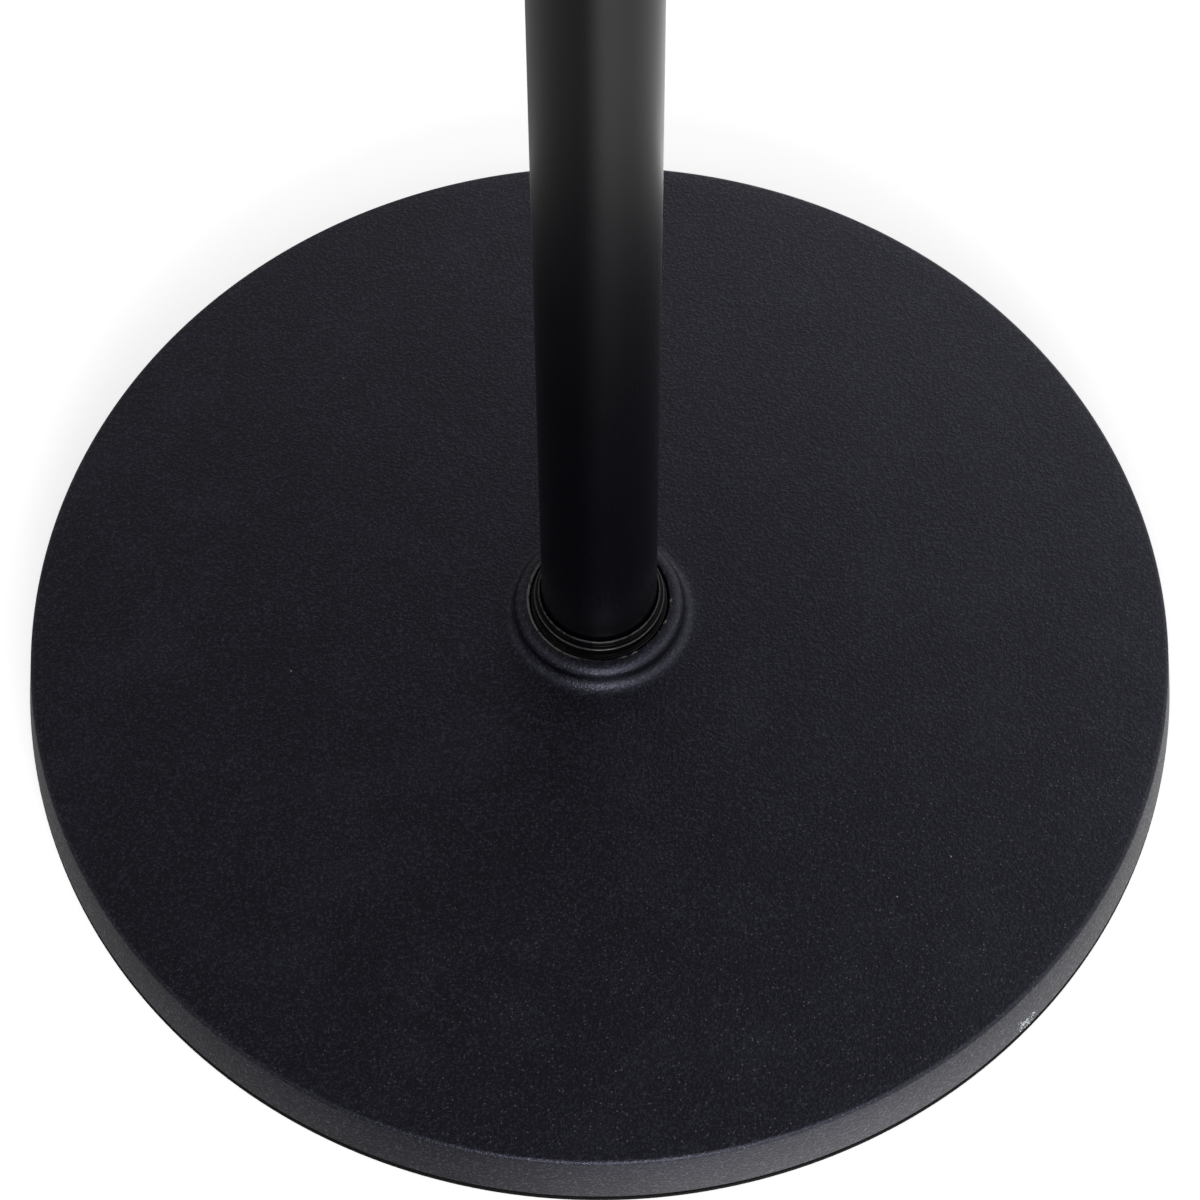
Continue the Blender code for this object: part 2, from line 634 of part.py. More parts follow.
def clutch_sleeve(axis):
    # An inner thread on the housing's spigot below, a groove for the snap ring, a lip above.
    groove_bottom = snap_ring_top - SNAP_RING_THICKNESS - SEAT_GAP
    groove_top = snap_ring_top + SEAT_GAP / 2
    flange_top = sleeve_bottom + SLEEVE_FLANGE_HEIGHT
    bevel = SLEEVE_FLANGE_HEIGHT / 3
    flange_radius = grip_radius
    outline = [
        (sleeve_bore, sleeve_bottom),
        (flange_radius - bevel, sleeve_bottom),
        (flange_radius, sleeve_bottom + bevel),
        (flange_radius, flange_top),
        (sleeve_radius, flange_top),
        (sleeve_radius, cap_skirt_bottom - SEAT_GAP),
        (neck_radius, cap_skirt_bottom - SEAT_GAP),
        (neck_radius, sleeve_top),
        (throat_radius, sleeve_top),
        (throat_radius, sleeve_lip_bottom),
        (sleeve_bore, sleeve_lip_bottom),
        (sleeve_bore, groove_top),
        (snap_groove_radius, groove_top),
        (snap_groove_radius, groove_bottom),
        (sleeve_bore, groove_bottom),
    ]
    piece("clutch_sleeve", turned(outline, CLUTCH_FACETS), SATIN_BLACK, axis)
    outer = snap_groove_radius - SEAT_GAP
    ring = split_ring(outer, outer - SNAP_RING_WIDTH, snap_ring_top - SNAP_RING_THICKNESS, SNAP_RING_THICKNESS,
                      SNAP_RING_OPENING, 0.0, SMALL_FACETS)
    piece("clutch_snap_ring", ring, ZINC_STEEL, axis)


def clutch_grip(axis):
    # Rounded upright ribs all round, running out at both ends.
    count = GRIP_RIB_COUNT * RIB_POINTS

    def ribbed(index):
        across = abs(2.0 * (index % RIB_POINTS) / RIB_POINTS - 1.0)
        return grip_root_radius + GRIP_RIB_HEIGHT * (1.0 - across ** 4)

    def plain(radius):
        return lambda index: radius

    end_radius = grip_root_radius - GRIP_END_BEVEL
    rows = [
        (plain(grip_bore), grip_bottom),
        (plain(end_radius), grip_bottom),
        (ribbed, grip_bottom + 2 * GRIP_END_BEVEL),
        (ribbed, grip_top - 2 * GRIP_END_BEVEL),
        (plain(end_radius), grip_top),
        (plain(grip_bore), grip_top),
    ]
    piece("clutch_grip", lofted(rows, count), BLACK_RUBBER, axis)


def clutch_cap(axis):
    outer = grip_root_radius
    plate_bottom = sleeve_top + SEAT_GAP
    skirt_inner = neck_radius + SEAT_GAP
    bevel = CAP_CLEARANCE
    outline = [(skirt_inner, cap_skirt_bottom), (outer, cap_skirt_bottom)]
    outline += arc((outer - CAP_ROUNDING, cap_top - CAP_ROUNDING), CAP_ROUNDING, 0, 90)
    outline += [
        (cap_bore + bevel, cap_top),
        (cap_bore, cap_top - bevel),
        (cap_bore, plate_bottom),
        (skirt_inner, plate_bottom),
    ]
    piece("clutch_cap", turned(outline, CLUTCH_FACETS), GLOSS_BLACK, axis)


def upper_tube(axis):
    bottom = -UPPER_TUBE_LENGTH
    pin_height = bottom + GUIDE_PIN_HEIGHT
    hole = GUIDE_PIN_DIAMETER / 2 + SEAT_GAP
    reach = 2 * guide_radius
    outline = ring_of(upper_radius, upper_bore, bottom, 0.0)
    tube = piece("upper_tube", turned(outline, CLUTCH_FACETS), SATIN_BLACK, axis)
    shaped_by(tube, "DIFFERENCE", rods_along_x(hole, [(-reach, reach)], pin_height, SCREW_FACETS), "tube_pin_hole")

    web_top_height = bottom - SEAT_GAP
    skirt_top = bottom + GUIDE_SKIRT
    lead_in = GUIDE_WALL / 2
    inner = upper_radius + SEAT_GAP
    outline = [
        (GUIDE_HOLE_DIAMETER / 2, web_top_height - GUIDE_WEB),
        (guide_radius - lead_in, web_top_height - GUIDE_WEB),
        (guide_radius, web_top_height - GUIDE_WEB + lead_in),
        (guide_radius, skirt_top),
        (inner, skirt_top),
        (inner, web_top_height),
        (GUIDE_HOLE_DIAMETER / 2, web_top_height),
    ]
    guide = piece("mast_guide", turned(outline, CLUTCH_FACETS), BLACK_NYLON, axis)
    size = (3 * guide_radius, GUIDE_SLOT_WIDTH, GUIDE_SLOT_DEPTH + GUIDE_SLOT_WIDTH)
    lift = Matrix.Translation((0.0, 0.0, skirt_top + GUIDE_SLOT_WIDTH - size[2] / 2))
    turns = [Matrix.Rotation(math.pi * (1 + 2 * index) / 4, 4, "Z") for index in range(2)]
    shaped_by(guide, "DIFFERENCE", crossed(size, lift, turns), "guide_slots")
    shaped_by(guide, "DIFFERENCE", rods_along_x(hole, [(-reach, reach)], pin_height, SCREW_FACETS),
              "guide_pin_hole")
    end = guide_radius - GUIDE_PIN_RECESS
    pin = rods_along_x(GUIDE_PIN_DIAMETER / 2, [(-end, end)], pin_height, SCREW_FACETS)
    piece("mast_guide_pin", pin, ZINC_STEEL, axis)


def top_stud(axis):
    tip = adapter_top - STUD_TIP_RECESS
    bevel = STUD_TIP_BEVEL
    shank_radius = upper_bore - SEAT_GAP
    outline = [
        (0.0, -STUD_SHANK),
        (shank_radius - bevel, -STUD_SHANK),
        (shank_radius, -STUD_SHANK + bevel),
        (shank_radius, SEAT_GAP),
        (upper_radius, SEAT_GAP),
        (upper_radius, stud_flange_top),
        (stud_radius, stud_flange_top),
        (stud_radius, tip - bevel),
        (stud_radius - bevel, tip),
        (0.0, tip),
    ]
    stud = piece("top_stud", turned(outline, CLUTCH_FACETS), ZINC_STEEL, axis)
    low = SEAT_GAP + STUD_FLANGE_HEIGHT / 4
    flats = []
    for side in (-1, 1):
        middle = side * (STUD_FLATS_WIDTH / 2 + upper_radius / 2)
        place = Matrix.Translation((0.0, middle, (low + tip) / 2))
        flats.append(((3 * upper_radius, upper_radius, tip - low), place))
    shaped_by(stud, "DIFFERENCE", boxes(flats), "stud_flats")


def thread_adapter(axis):
    inner = stud_radius + THREAD_GAP
    bevel = ADAPTER_BEVEL
    outline = [
        (inner, adapter_bottom),
        (adapter_radius - bevel, adapter_bottom),
        (adapter_radius, adapter_bottom + bevel),
        (adapter_radius, adapter_top - bevel),
        (adapter_radius - bevel, adapter_top),
        (inner, adapter_top),
    ]
    adapter = piece("thread_adapter", turned(outline, CLUTCH_FACETS), NICKEL, axis)
    depth = 2 * ADAPTER_SLOT_DEPTH
    slot = [((3 * adapter_radius, ADAPTER_SLOT_WIDTH, depth), Matrix.Translation((0.0, 0.0, adapter_top)))]
    shaped_by(adapter, "DIFFERENCE", boxes(slot), "adapter_slot")


def lock_ring(ring_axis, washer_axis):
    # A nut with a knurled edge, and the washer that it carries under the microphone clip.
    def knurled(index):
        return lock_ring_radius - KNURL_DEPTH * (index % 2)

    def plain(radius):
        return lambda index: radius

    bevel = LOCK_RING_BEVEL
    rows = [
        (plain(lock_bore), lock_ring_bottom),
        (plain(lock_ring_radius - KNURL_DEPTH - bevel), lock_ring_bottom),
        (knurled, lock_ring_bottom + bevel),
        (knurled, lock_ring_top - bevel),
        (plain(lock_ring_radius - KNURL_DEPTH - bevel), lock_ring_top),
        (plain(lock_bore), lock_ring_top),
    ]
    piece("lock_ring", lofted(rows, 2 * KNURL_COUNT), ZINC_STEEL, ring_axis)
    washer = ring_of(lock_bore + LOCK_WASHER_WALL, lock_bore, lock_washer_bottom,
                     lock_washer_bottom + LOCK_WASHER_THICKNESS)
    piece("lock_ring_washer", turned(washer, CLUTCH_FACETS), BLACK_NYLON, washer_axis)


def build():
    clear_scene()
    stand = joint_axis("stand_axis", 0.0)
    clutch = joint_axis("clutch_axis", lower_tube_top, stand)
    collet = joint_axis("collet_axis", 0.0, clutch)
    closer = joint_axis("closer_axis", 0.0, clutch)
    grip = joint_axis("grip_axis", 0.0, closer)
    mast = joint_axis("mast_axis", mast_top - lower_tube_top, collet)
    lock_washer = joint_axis("lock_washer_axis", 0.0, mast)
    lock = joint_axis("lock_ring_axis", 0.0, lock_washer)

    base_casting(stand)
    base_rubber_ring(stand)
    base_bolt(stand)
    bolt_washers(stand)
    foot_ferrule(stand)
    lower_tube(stand)
    clutch_housing(clutch)
    clutch_collet(collet)
    pressure_ring(closer)
    clutch_sleeve(grip)
    clutch_grip(grip)
    clutch_cap(grip)
    upper_tube(mast)
    top_stud(mast)
    thread_adapter(mast)
    lock_ring(lock, lock_washer)


build()
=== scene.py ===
# Looks of a straight microphone stand: round cast base, two black tubes, twist clutch, top thread.
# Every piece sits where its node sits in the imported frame. Metres, +Z up, floor at z = 0.
import math

import bmesh
import bpy
from mathutils import Matrix, Vector


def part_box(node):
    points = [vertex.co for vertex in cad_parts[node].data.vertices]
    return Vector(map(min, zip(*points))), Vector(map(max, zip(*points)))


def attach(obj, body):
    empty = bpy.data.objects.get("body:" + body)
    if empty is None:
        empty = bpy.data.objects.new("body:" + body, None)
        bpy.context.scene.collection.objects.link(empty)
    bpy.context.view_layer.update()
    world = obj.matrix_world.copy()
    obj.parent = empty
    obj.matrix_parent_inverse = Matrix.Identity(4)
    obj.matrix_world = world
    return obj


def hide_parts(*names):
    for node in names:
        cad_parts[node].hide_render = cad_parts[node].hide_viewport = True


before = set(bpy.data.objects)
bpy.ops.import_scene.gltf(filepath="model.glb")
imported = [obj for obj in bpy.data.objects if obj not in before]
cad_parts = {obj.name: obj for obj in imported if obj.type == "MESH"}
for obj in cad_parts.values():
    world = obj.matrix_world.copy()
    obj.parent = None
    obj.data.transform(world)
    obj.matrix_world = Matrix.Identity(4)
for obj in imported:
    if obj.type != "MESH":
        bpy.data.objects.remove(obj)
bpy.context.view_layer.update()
print("frame:", len(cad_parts), "nodes")

quality = {
    "baseSteps": 288,  # steps of a full turn on the base
    "tubeSteps": 160,
    "smallSteps": 96,
    "threadSteps": 64,
    "screwSteps": 48,
    "pinSteps": 32,
    "arcSegments": 5,
    "sharpAngle": math.radians(34),
    "mergeDistance": 1e-7,
    "overlap": 0.001,  # how far one body runs into another before they are joined
}
crisp, eased, rounded = 0.0002, 0.0003, 0.0004  # roundings of machined corners


class Signal:
    # One output of a node, with Python's arithmetic on it.
    def __init__(self, finish, socket):
        self.finish = finish
        self.socket = socket

    def math(self, operation, first, second=None):
        values = {0: first} if second is None else {0: first, 1: second}
        return self.finish.node("ShaderNodeMath", {"operation": operation}, values)

    def __add__(self, other):
        return self.math("ADD", self, other)

    def __radd__(self, other):
        return self.math("ADD", other, self)

    def __sub__(self, other):
        return self.math("SUBTRACT", self, other)

    def __rsub__(self, other):
        return self.math("SUBTRACT", other, self)

    def __mul__(self, other):
        return self.math("MULTIPLY", self, other)

    def __rmul__(self, other):
        return self.math("MULTIPLY", other, self)

    def __truediv__(self, other):
        return self.math("DIVIDE", self, other)

    def __rtruediv__(self, other):
        return self.math("DIVIDE", other, self)

    def __pow__(self, other):
        return self.math("POWER", self, other)


class NodeTree:
    # Makes nodes in the tree of a material or the world.
    def __init__(self, tree):
        self.tree = tree

    def node(self, kind, settings=None, inputs=None, output=0):
        made = self.tree.nodes.new(kind)
        for name, value in (settings or {}).items():
            setattr(made, name, value)
        for name, value in (inputs or {}).items():
            self.feed(made.inputs[name], value)
        return Signal(self, made.outputs[output])

    def feed(self, socket, value):
        if isinstance(value, Signal):
            self.tree.links.new(value.socket, socket)
        elif isinstance(value, tuple) and len(value) == 3 and socket.type == "RGBA":
            socket.default_value = (*value, 1.0)
        else:
            socket.default_value = value

    def outputs(self, signal, names):
        # these outputs of the node that the signal comes from
        sockets = signal.socket.node.outputs
        return [Signal(self, sockets[name]) for name in names]

    def rays(self):
        # 1 on camera, glossy and transmission rays
        kinds = ("Is Camera Ray", "Is Glossy Ray", "Is Transmission Ray")
        return self.outputs(self.node("ShaderNodeLightPath"), kinds)

    def split(self, vector):
        return self.outputs(self.node("ShaderNodeSeparateXYZ", None, {"Vector": vector}), "XYZ")

    def ramp(self, value, low, high, start=0.0, end=1.0):
        # start below low, end above high, soft between them; low may be the larger one
        settings = {"interpolation_type": "SMOOTHSTEP"}
        inputs = {"Value": value, "From Min": low, "From Max": high, "To Min": start, "To Max": end}
        return self.node("ShaderNodeMapRange", settings, inputs)

    def chosen(self, share, first, second):
        # shaders: the first where the share is 0, the second where it is 1
        return self.node("ShaderNodeMixShader", None, {0: share, 1: first, 2: second})


class Finish(NodeTree):
    # A material with one Principled shader. Constants go straight to the shader's sockets.
    def __init__(self, name, constants):
        self.material = bpy.data.materials.new(name)
        self.material.use_nodes = True
        super().__init__(self.material.node_tree)
        self.shader = self.tree.nodes["Principled BSDF"]
        self.place = self.node("ShaderNodeTexCoord", output="Object")
        for socket, value in constants.items():
            self.set(socket, value)

    def set(self, socket, value):
        self.feed(self.shader.inputs[socket], value)

    def mixed(self, first, second, share):
        # colours: the first where the share is 0, the second where it is 1
        settings = {"data_type": "RGBA"}
        return self.node("ShaderNodeMix", settings, {0: share, 6: first, 7: second}, output=2)

    def noise(self, size, detail, stretch=None):
        # cloudy noise whose blobs are about as large as size, in metres
        place = self.place
        if stretch:
            place = self.node("ShaderNodeMapping", None, {"Vector": place, "Scale": stretch})
        inputs = {"Vector": place, "Scale": 1.0 / size, "Detail": detail}
        return self.node("ShaderNodeTexNoise", {"noise_dimensions": "3D"}, inputs)

    def specks(self, spacing, radius, share):
        # separate round specks on a share of the cells of a grid; 1 inside a speck
        grid = {"Vector": self.place, "Scale": 1.0 / spacing}
        near = self.node("ShaderNodeTexVoronoi", None, grid)
        cell = self.node("ShaderNodeTexVoronoi", None, grid, "Color")
        pick = self.split(cell)[0]
        kept = self.ramp(pick, 1.0 - share, 1.0 - share + 0.01)
        return kept * self.ramp(near, radius / spacing, 0.6 * radius / spacing)

    def cylinder(self):
        # distance from the stand's axis, height, and the other two coordinates
        x, y, z = self.split(self.place)
        return (x * x + y * y) ** 0.5, z, x, y

    def bumps(self, height, distance, strength):
        inputs = {"Height": height, "Distance": distance, "Strength": strength}
        self.set("Normal", self.node("ShaderNodeBump", None, inputs))


# Drawing with outlines. An outline is a list of (radius, height, rounding): the rounding is the
# length that is cut off each side of the corner and replaced by an arc.


def outlineWire(corners, closed):
    bm = bmesh.new()
    points = [bm.verts.new((corner[0], 0.0, corner[1])) for corner in corners]
    pairs = list(zip(points, points[1:]))
    if closed:
        pairs.append((points[-1], points[0]))
    for pair in pairs:
        bm.edges.new(pair)
    for point, corner in zip(points, corners):
        if len(corner) > 2:
            bmesh.ops.bevel(bm, geom=[point], offset=corner[2], offset_type="OFFSET", profile=0.5,
                            segments=quality["arcSegments"], affect="VERTICES", material=-1)
    return bm


def turned(corners, steps=quality["tubeSteps"], closed=True):
    # a solid of revolution about the stand's axis; an open outline starts and ends on that axis
    bm = outlineWire(corners, closed)
    bmesh.ops.spin(bm, geom=bm.verts[:] + bm.edges[:], axis=(0, 0, 1), cent=(0, 0, 0),
                   angle=math.tau, steps=steps, use_merge=True)
    bmesh.ops.remove_doubles(bm, verts=bm.verts, dist=quality["mergeDistance"])
    bmesh.ops.recalc_face_normals(bm, faces=bm.faces)
    return bm


def linked(name, data):
    obj = bpy.data.objects.new(name, data)
    bpy.context.scene.collection.objects.link(obj)
    return obj


def drafted(name, bm):
    mesh = bpy.data.meshes.new(name)
    bm.to_mesh(mesh)
    bm.free()
    return linked(name, mesh)


def joined(bm, other, operation):
    # a new bmesh from two closed ones: UNION, DIFFERENCE or INTERSECT
    body = drafted("draft", bm)
    tool = drafted("tool", other)
    modifier = body.modifiers.new("join", "BOOLEAN")
    modifier.operation = operation
    modifier.solver = "MANIFOLD"  # the exact one loses finely threaded bodies
    modifier.object = tool
    result = bmesh.new()
    result.from_object(body, bpy.context.evaluated_depsgraph_get())
    for old in (body, tool):
        mesh = old.data
        bpy.data.objects.remove(old, do_unlink=True)
        bpy.data.meshes.remove(mesh)
    return result


def finished(name, bm, finish, body, slot, *nodes):
    # the piece that stands for its nodes, riding on their body
    bmesh.ops.recalc_face_normals(bm, faces=bm.faces)
    obj = drafted(name, bm)
    obj.data.materials.append(finish.material)
    obj.data.shade_smooth()
    obj.data.set_sharp_from_angle(angle=quality["sharpAngle"])
    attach(obj, body)
    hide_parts(*nodes)


def reach(node):
    # outer radius and the two heights of a round node
    low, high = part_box(node)
    return high[0], low[2], high[2]


def midHeight(node):
    low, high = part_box(node)
    return (low[2] + high[2]) / 2


def ringOf(outer, bore, bottom, top, rounding):
    places = ((bore, bottom), (outer, bottom), (outer, top), (bore, top))
    return [(radius, height, rounding) for radius, height in places]


def plainRing(node, bore, rounding, steps=quality["tubeSteps"]):
    # a round tube or washer that fills its node's box
    outer, bottom, top = reach(node)
    return turned(ringOf(outer, bore, bottom, top, rounding), steps)


def threaded(major, screw, bottom, top, steps=quality["threadSteps"]):
    # a solid screw: one zigzag outline spun up by one pitch a turn, trimmed flat and chamfered
    pitch, depth, chamfer = screw["pitch"], screw["threadDepth"], screw["threadChamfer"]
    crest, root = 0.15, 0.2  # shares of the pitch
    flank = (1.0 - crest - root) / 2
    before, after = 1.47, 1.5  # turns past the ends; no corner comes to lie on a trimming plane
    zigzag = ((major - depth, 0.0), (major - depth, root), (major, root + flank),
              (major, root + flank + crest))
    bm = bmesh.new()
    points = []
    height = bottom - before * pitch
    while height < top + after * pitch:
        for radius, share in zigzag:
            points.append(bm.verts.new((radius, 0.0, height + share * pitch)))
        height += pitch
    for pair in zip(points, points[1:]):
        bm.edges.new(pair)
    bmesh.ops.spin(bm, geom=bm.verts[:] + bm.edges[:], axis=(0, 0, 1), cent=(0, 0, 0),
                   dvec=(0, 0, pitch / steps), angle=math.tau, steps=steps)
    bmesh.ops.remove_doubles(bm, verts=bm.verts, dist=pitch / 1000)
    for height, side in ((bottom, -1), (top, 1)):
        bmesh.ops.bisect_plane(bm, geom=bm.verts[:] + bm.edges[:] + bm.faces[:],
                               dist=quality["mergeDistance"], plane_co=(0, 0, height),
                               plane_no=(0, 0, side), clear_outer=True)
    bmesh.ops.remove_doubles(bm, verts=bm.verts, dist=pitch / 300)
    for vert in bm.verts:
        inset = min(vert.co.z - bottom, top - vert.co.z)
        limit = major - chamfer + inset
        radius = vert.co.xy.length
        if radius > limit:
            vert.co.xy *= limit / radius
    bmesh.ops.holes_fill(bm, edges=[edge for edge in bm.edges if edge.is_boundary], sides=0)
    bmesh.ops.recalc_face_normals(bm, faces=bm.faces)
    return bm


def boxShape(size, place):
    bm = bmesh.new()
    bmesh.ops.create_cube(bm, size=1.0, matrix=place @ Matrix.Diagonal((*size, 1.0)))
    return bm


def rodsAlongX(radius, spans, height, steps):
    bm = bmesh.new()
    for start, end in spans:
        place = Matrix.Translation(((start + end) / 2, 0.0, height))
        bmesh.ops.create_cone(bm, cap_ends=True, segments=steps, radius1=radius, radius2=radius,
                              depth=end - start, matrix=place @ Matrix.Rotation(math.pi / 2, 4, "Y"))
    return bm


def laidAlongX(bm, height, side=1):
    # a piece turned about the vertical, laid down at a height
    place = Matrix.Translation((0, 0, height)) @ Matrix.Rotation(side * math.pi / 2, 4, "Y")
    bmesh.ops.transform(bm, matrix=place, verts=bm.verts)
    return bm


def hexagon(acrossFlats, depth, height):
    # a six-sided block about the axis, its middle at a height
    corner = acrossFlats / math.sqrt(3.0)
    bm = bmesh.new()
    bmesh.ops.create_cone(bm, cap_ends=True, segments=6, radius1=corner, radius2=corner,
                          depth=depth, matrix=Matrix.Translation((0, 0, height)))
    return bm


def slotted(bm, length, width, bottom, top, turns):
    # long slots through the axis, cut from the top down, one for each angle
    for turn in turns:
        place = Matrix.Rotation(turn, 4, "Z") @ Matrix.Translation((0.0, 0.0, (bottom + top) / 2))
        bm = joined(bm, boxShape((length, width, top - bottom), place), "DIFFERENCE")
    return bm


def splitRing(outer, bore, bottom, thickness, opening, rise=0.0):
    # one rounded section spun round the axis, short of a full turn, so that its ends stay apart
    steps = quality["smallSteps"]
    bm = outlineWire(ringOf(outer, bore, bottom, bottom + thickness, crisp), True)
    bmesh.ops.contextual_create(bm, geom=bm.edges[:])
    turn = Matrix.Rotation(opening / 2, 3, "Z")
    bmesh.ops.rotate(bm, verts=bm.verts[:], cent=(0, 0, 0), matrix=turn)
    bmesh.ops.spin(bm, geom=bm.faces[:], axis=(0, 0, 1), cent=(0, 0, 0), dvec=(0, 0, rise / steps),
                   angle=math.tau - opening, steps=steps)
    bmesh.ops.recalc_face_normals(bm, faces=bm.faces)
    return bm


def waved(bm, depthAt):
    # moves each corner of a turned piece inwards by a depth that depends on its place
    for vert in bm.verts:
        radius = vert.co.xy.length
        depth = depthAt(radius, math.atan2(vert.co.y, vert.co.x), vert.co.z)
        if depth:
            vert.co.xy *= (radius - depth) / radius
    return bm


# Finishes

powderCoat = {
    "deep": (0.0001, 0.0001, 0.0008),
    "raised": (0.0236, 0.0229, 0.0348),
    # painted highlight: the tone of bright specks that stand for glints of light
    "paintedGlint": (0.130, 0.135, 0.160),
    "tint": (0.75, 0.76, 1.0, 1.0),
    "grain": 0.00074,  # size of the coat's grains
    "grainHeight": 0.00029,
    "mottle": 0.018,
    "ragged": 0.0012,  # of the worn edge, with the breaks in it and the flakes at the chip
    "breaks": 0.0022,
    "flakes": 0.0009,
    "dust": (0.42, 0.40, 0.34),
    "specks": (0.011, 0.00022, 0.35),  # spacing, radius and share of the dust specks
    "dustAndGlintSpecks": (0.0011, 0.00022, 0.45),  # finer dust specks; that there are more of them towards the front right is painted glint where the lamp falls
    "bareMetal": (0.86, 0.92, 1.0),
    "chipReach": (0.0039, 0.0034),
    "wornLine": (0.150, 0.146, 0.128),
    "wornWidth": (0.00074, 0.00060),
    "wornDepth": (0.0006, 0.0003),
    "wallInset": (0.0024, 0.0030),  # the boss's upright wall, painted darker as shade and smoother
    "wallFade": 0.0008,
}


def texturedBlack(socketEdge, socketTop, wallBottom, wallTop, chip):
    # sandy black powder coat, worn through at the socket's edge and chipped at the rim, with painted
    # glints in its grain, painted shade on the boss's wall and more light specks painted towards the
    # front right as glints
    p = powderCoat
    shine = {"IOR": 1.5, "Specular IOR Level": 0.45, "Specular Tint": p["tint"]}
    coat = Finish("textured_black_powder_coat", shine)
    grain = coat.noise(p["grain"], 2.0)
    fine = coat.noise(p["grain"] * 0.45, 1.0)
    mottle = coat.noise(p["mottle"], 3.0)
    sand = coat.ramp(grain * 0.6 + fine * 0.4, 0.50, 0.62)
    color = coat.mixed(p["deep"], p["raised"], sand * 0.68 + (mottle - 0.5) * 0.5)
    # painted highlight: bright specks painted into the colour as glints of light in the grain
    paintedGlint = coat.ramp(coat.noise(p["grain"] * 0.5, 0.0, stretch=(1.0, 1.1, 1.0)), 0.72, 0.82)
    color = coat.mixed(color, p["paintedGlint"], paintedGlint * 0.22)
    radius, height, x, y = coat.cylinder()
    # painted shade: the boss's upright wall is darkened towards the deep tone, and made smoother
    wallShadeMask = coat.ramp(height, wallBottom - p["wallFade"], wallBottom)
    wallShadeMask = wallShadeMask * coat.ramp(height, wallTop + p["wallFade"], wallTop)
    wallShadeMask = wallShadeMask * coat.ramp(radius, *(socketEdge + inset for inset in p["wallInset"]))
    color = coat.mixed(color, p["deep"], wallShadeMask * 0.9)
    ragged = coat.noise(p["ragged"], 2.0)
    edge = coat.ramp(radius + ragged * 0.0002, *(socketEdge + width for width in p["wornWidth"]))
    edge = edge * coat.ramp(height, *(socketTop - depth for depth in p["wornDepth"]))
    thin = coat.ramp(x * 0.9 - y * 0.4, 0.0060, -0.0010) * coat.ramp(ragged, 0.30, 0.50) * 0.6
    broken = coat.ramp(coat.noise(p["breaks"], 3.0), 0.56, 0.62) * coat.ramp(x, 0.002, 0.008)
    worn = edge * (thin + broken)
    color = coat.mixed(color, p["wornLine"], worn)
    ends = {0: coat.place, 1: chip}
    away = coat.node("ShaderNodeVectorMath", {"operation": "DISTANCE"}, ends, output="Value")
    flakes = coat.noise(p["flakes"], 3.0)
    chipped = coat.ramp(away * 0.5 + flakes * 0.006, *p["chipReach"]) * coat.ramp(fine, 0.44, 0.56)
    color = coat.mixed(color, p["bareMetal"], chipped)
    color = coat.mixed(color, p["dust"], coat.specks(*p["specks"]) * 0.55)
    # finer dust specks, with more painted towards the front right as glints of the lamp
    dustAndGlintSpecks = coat.specks(*p["dustAndGlintSpecks"]) * coat.ramp(x * 0.5 - y * 0.9, -0.01, 0.11)
    color = coat.mixed(color, p["dust"], dustAndGlintSpecks * 0.16)
    coat.set("Base Color", color)
    coat.set("Roughness", 0.43 - sand * 0.16 - worn * 0.1 - wallShadeMask * 0.14)
    coat.bumps(grain * 0.65 + fine * 0.35 - chipped * 0.2, p["grainHeight"], 0.8)
    return coat


satinPaint = {
    "color": (0.0003, 0.0004, 0.0011),
    "roughness": 0.275,
    "cloud": 0.03,
    "drawnLine": 0.0009,
    "dust": (0.30, 0.29, 0.27),
    "specks": (0.014, 0.00016, 0.30),
}


def satinBlack(name, lines, peel=0.0011):
    # smooth satin coat with a little orange peel, faint drawn lines and a few dust specks
    p = satinPaint
    coat = Finish(name, {"IOR": 1.5, "Specular IOR Level": 0.36})
    soft = coat.noise(peel, 2.0)
    cloud = coat.noise(p["cloud"], 2.0)
    drawn = coat.noise(p["drawnLine"], 2.0, stretch=(1.0, 1.0, 0.02))
    color = coat.mixed(tuple(0.8 * part for part in p["color"]), p["color"], cloud)
    color = coat.mixed(color, p["dust"], coat.specks(*p["specks"]) * 0.5)
    coat.set("Base Color", color)
    coat.set("Roughness", p["roughness"] + (cloud - 0.5) * 0.06 + (drawn - 0.5) * lines)
    coat.bumps(soft, 0.000012, 0.35)
    return coat


glossPaint = {
    "color": (0.0008, 0.0008, 0.0010),
    "roughness": 0.09,
    "smear": 0.004,
    "peel": 0.0006,
    "dust": (0.060, 0.056, 0.045),
    # painted highlight: the lighter tone of the thin lines along the outer corners
    "grit": 0.00035,
    "paintedHighlight": (0.034, 0.034, 0.038),
    "highlightBreaks": 0.0007,
}


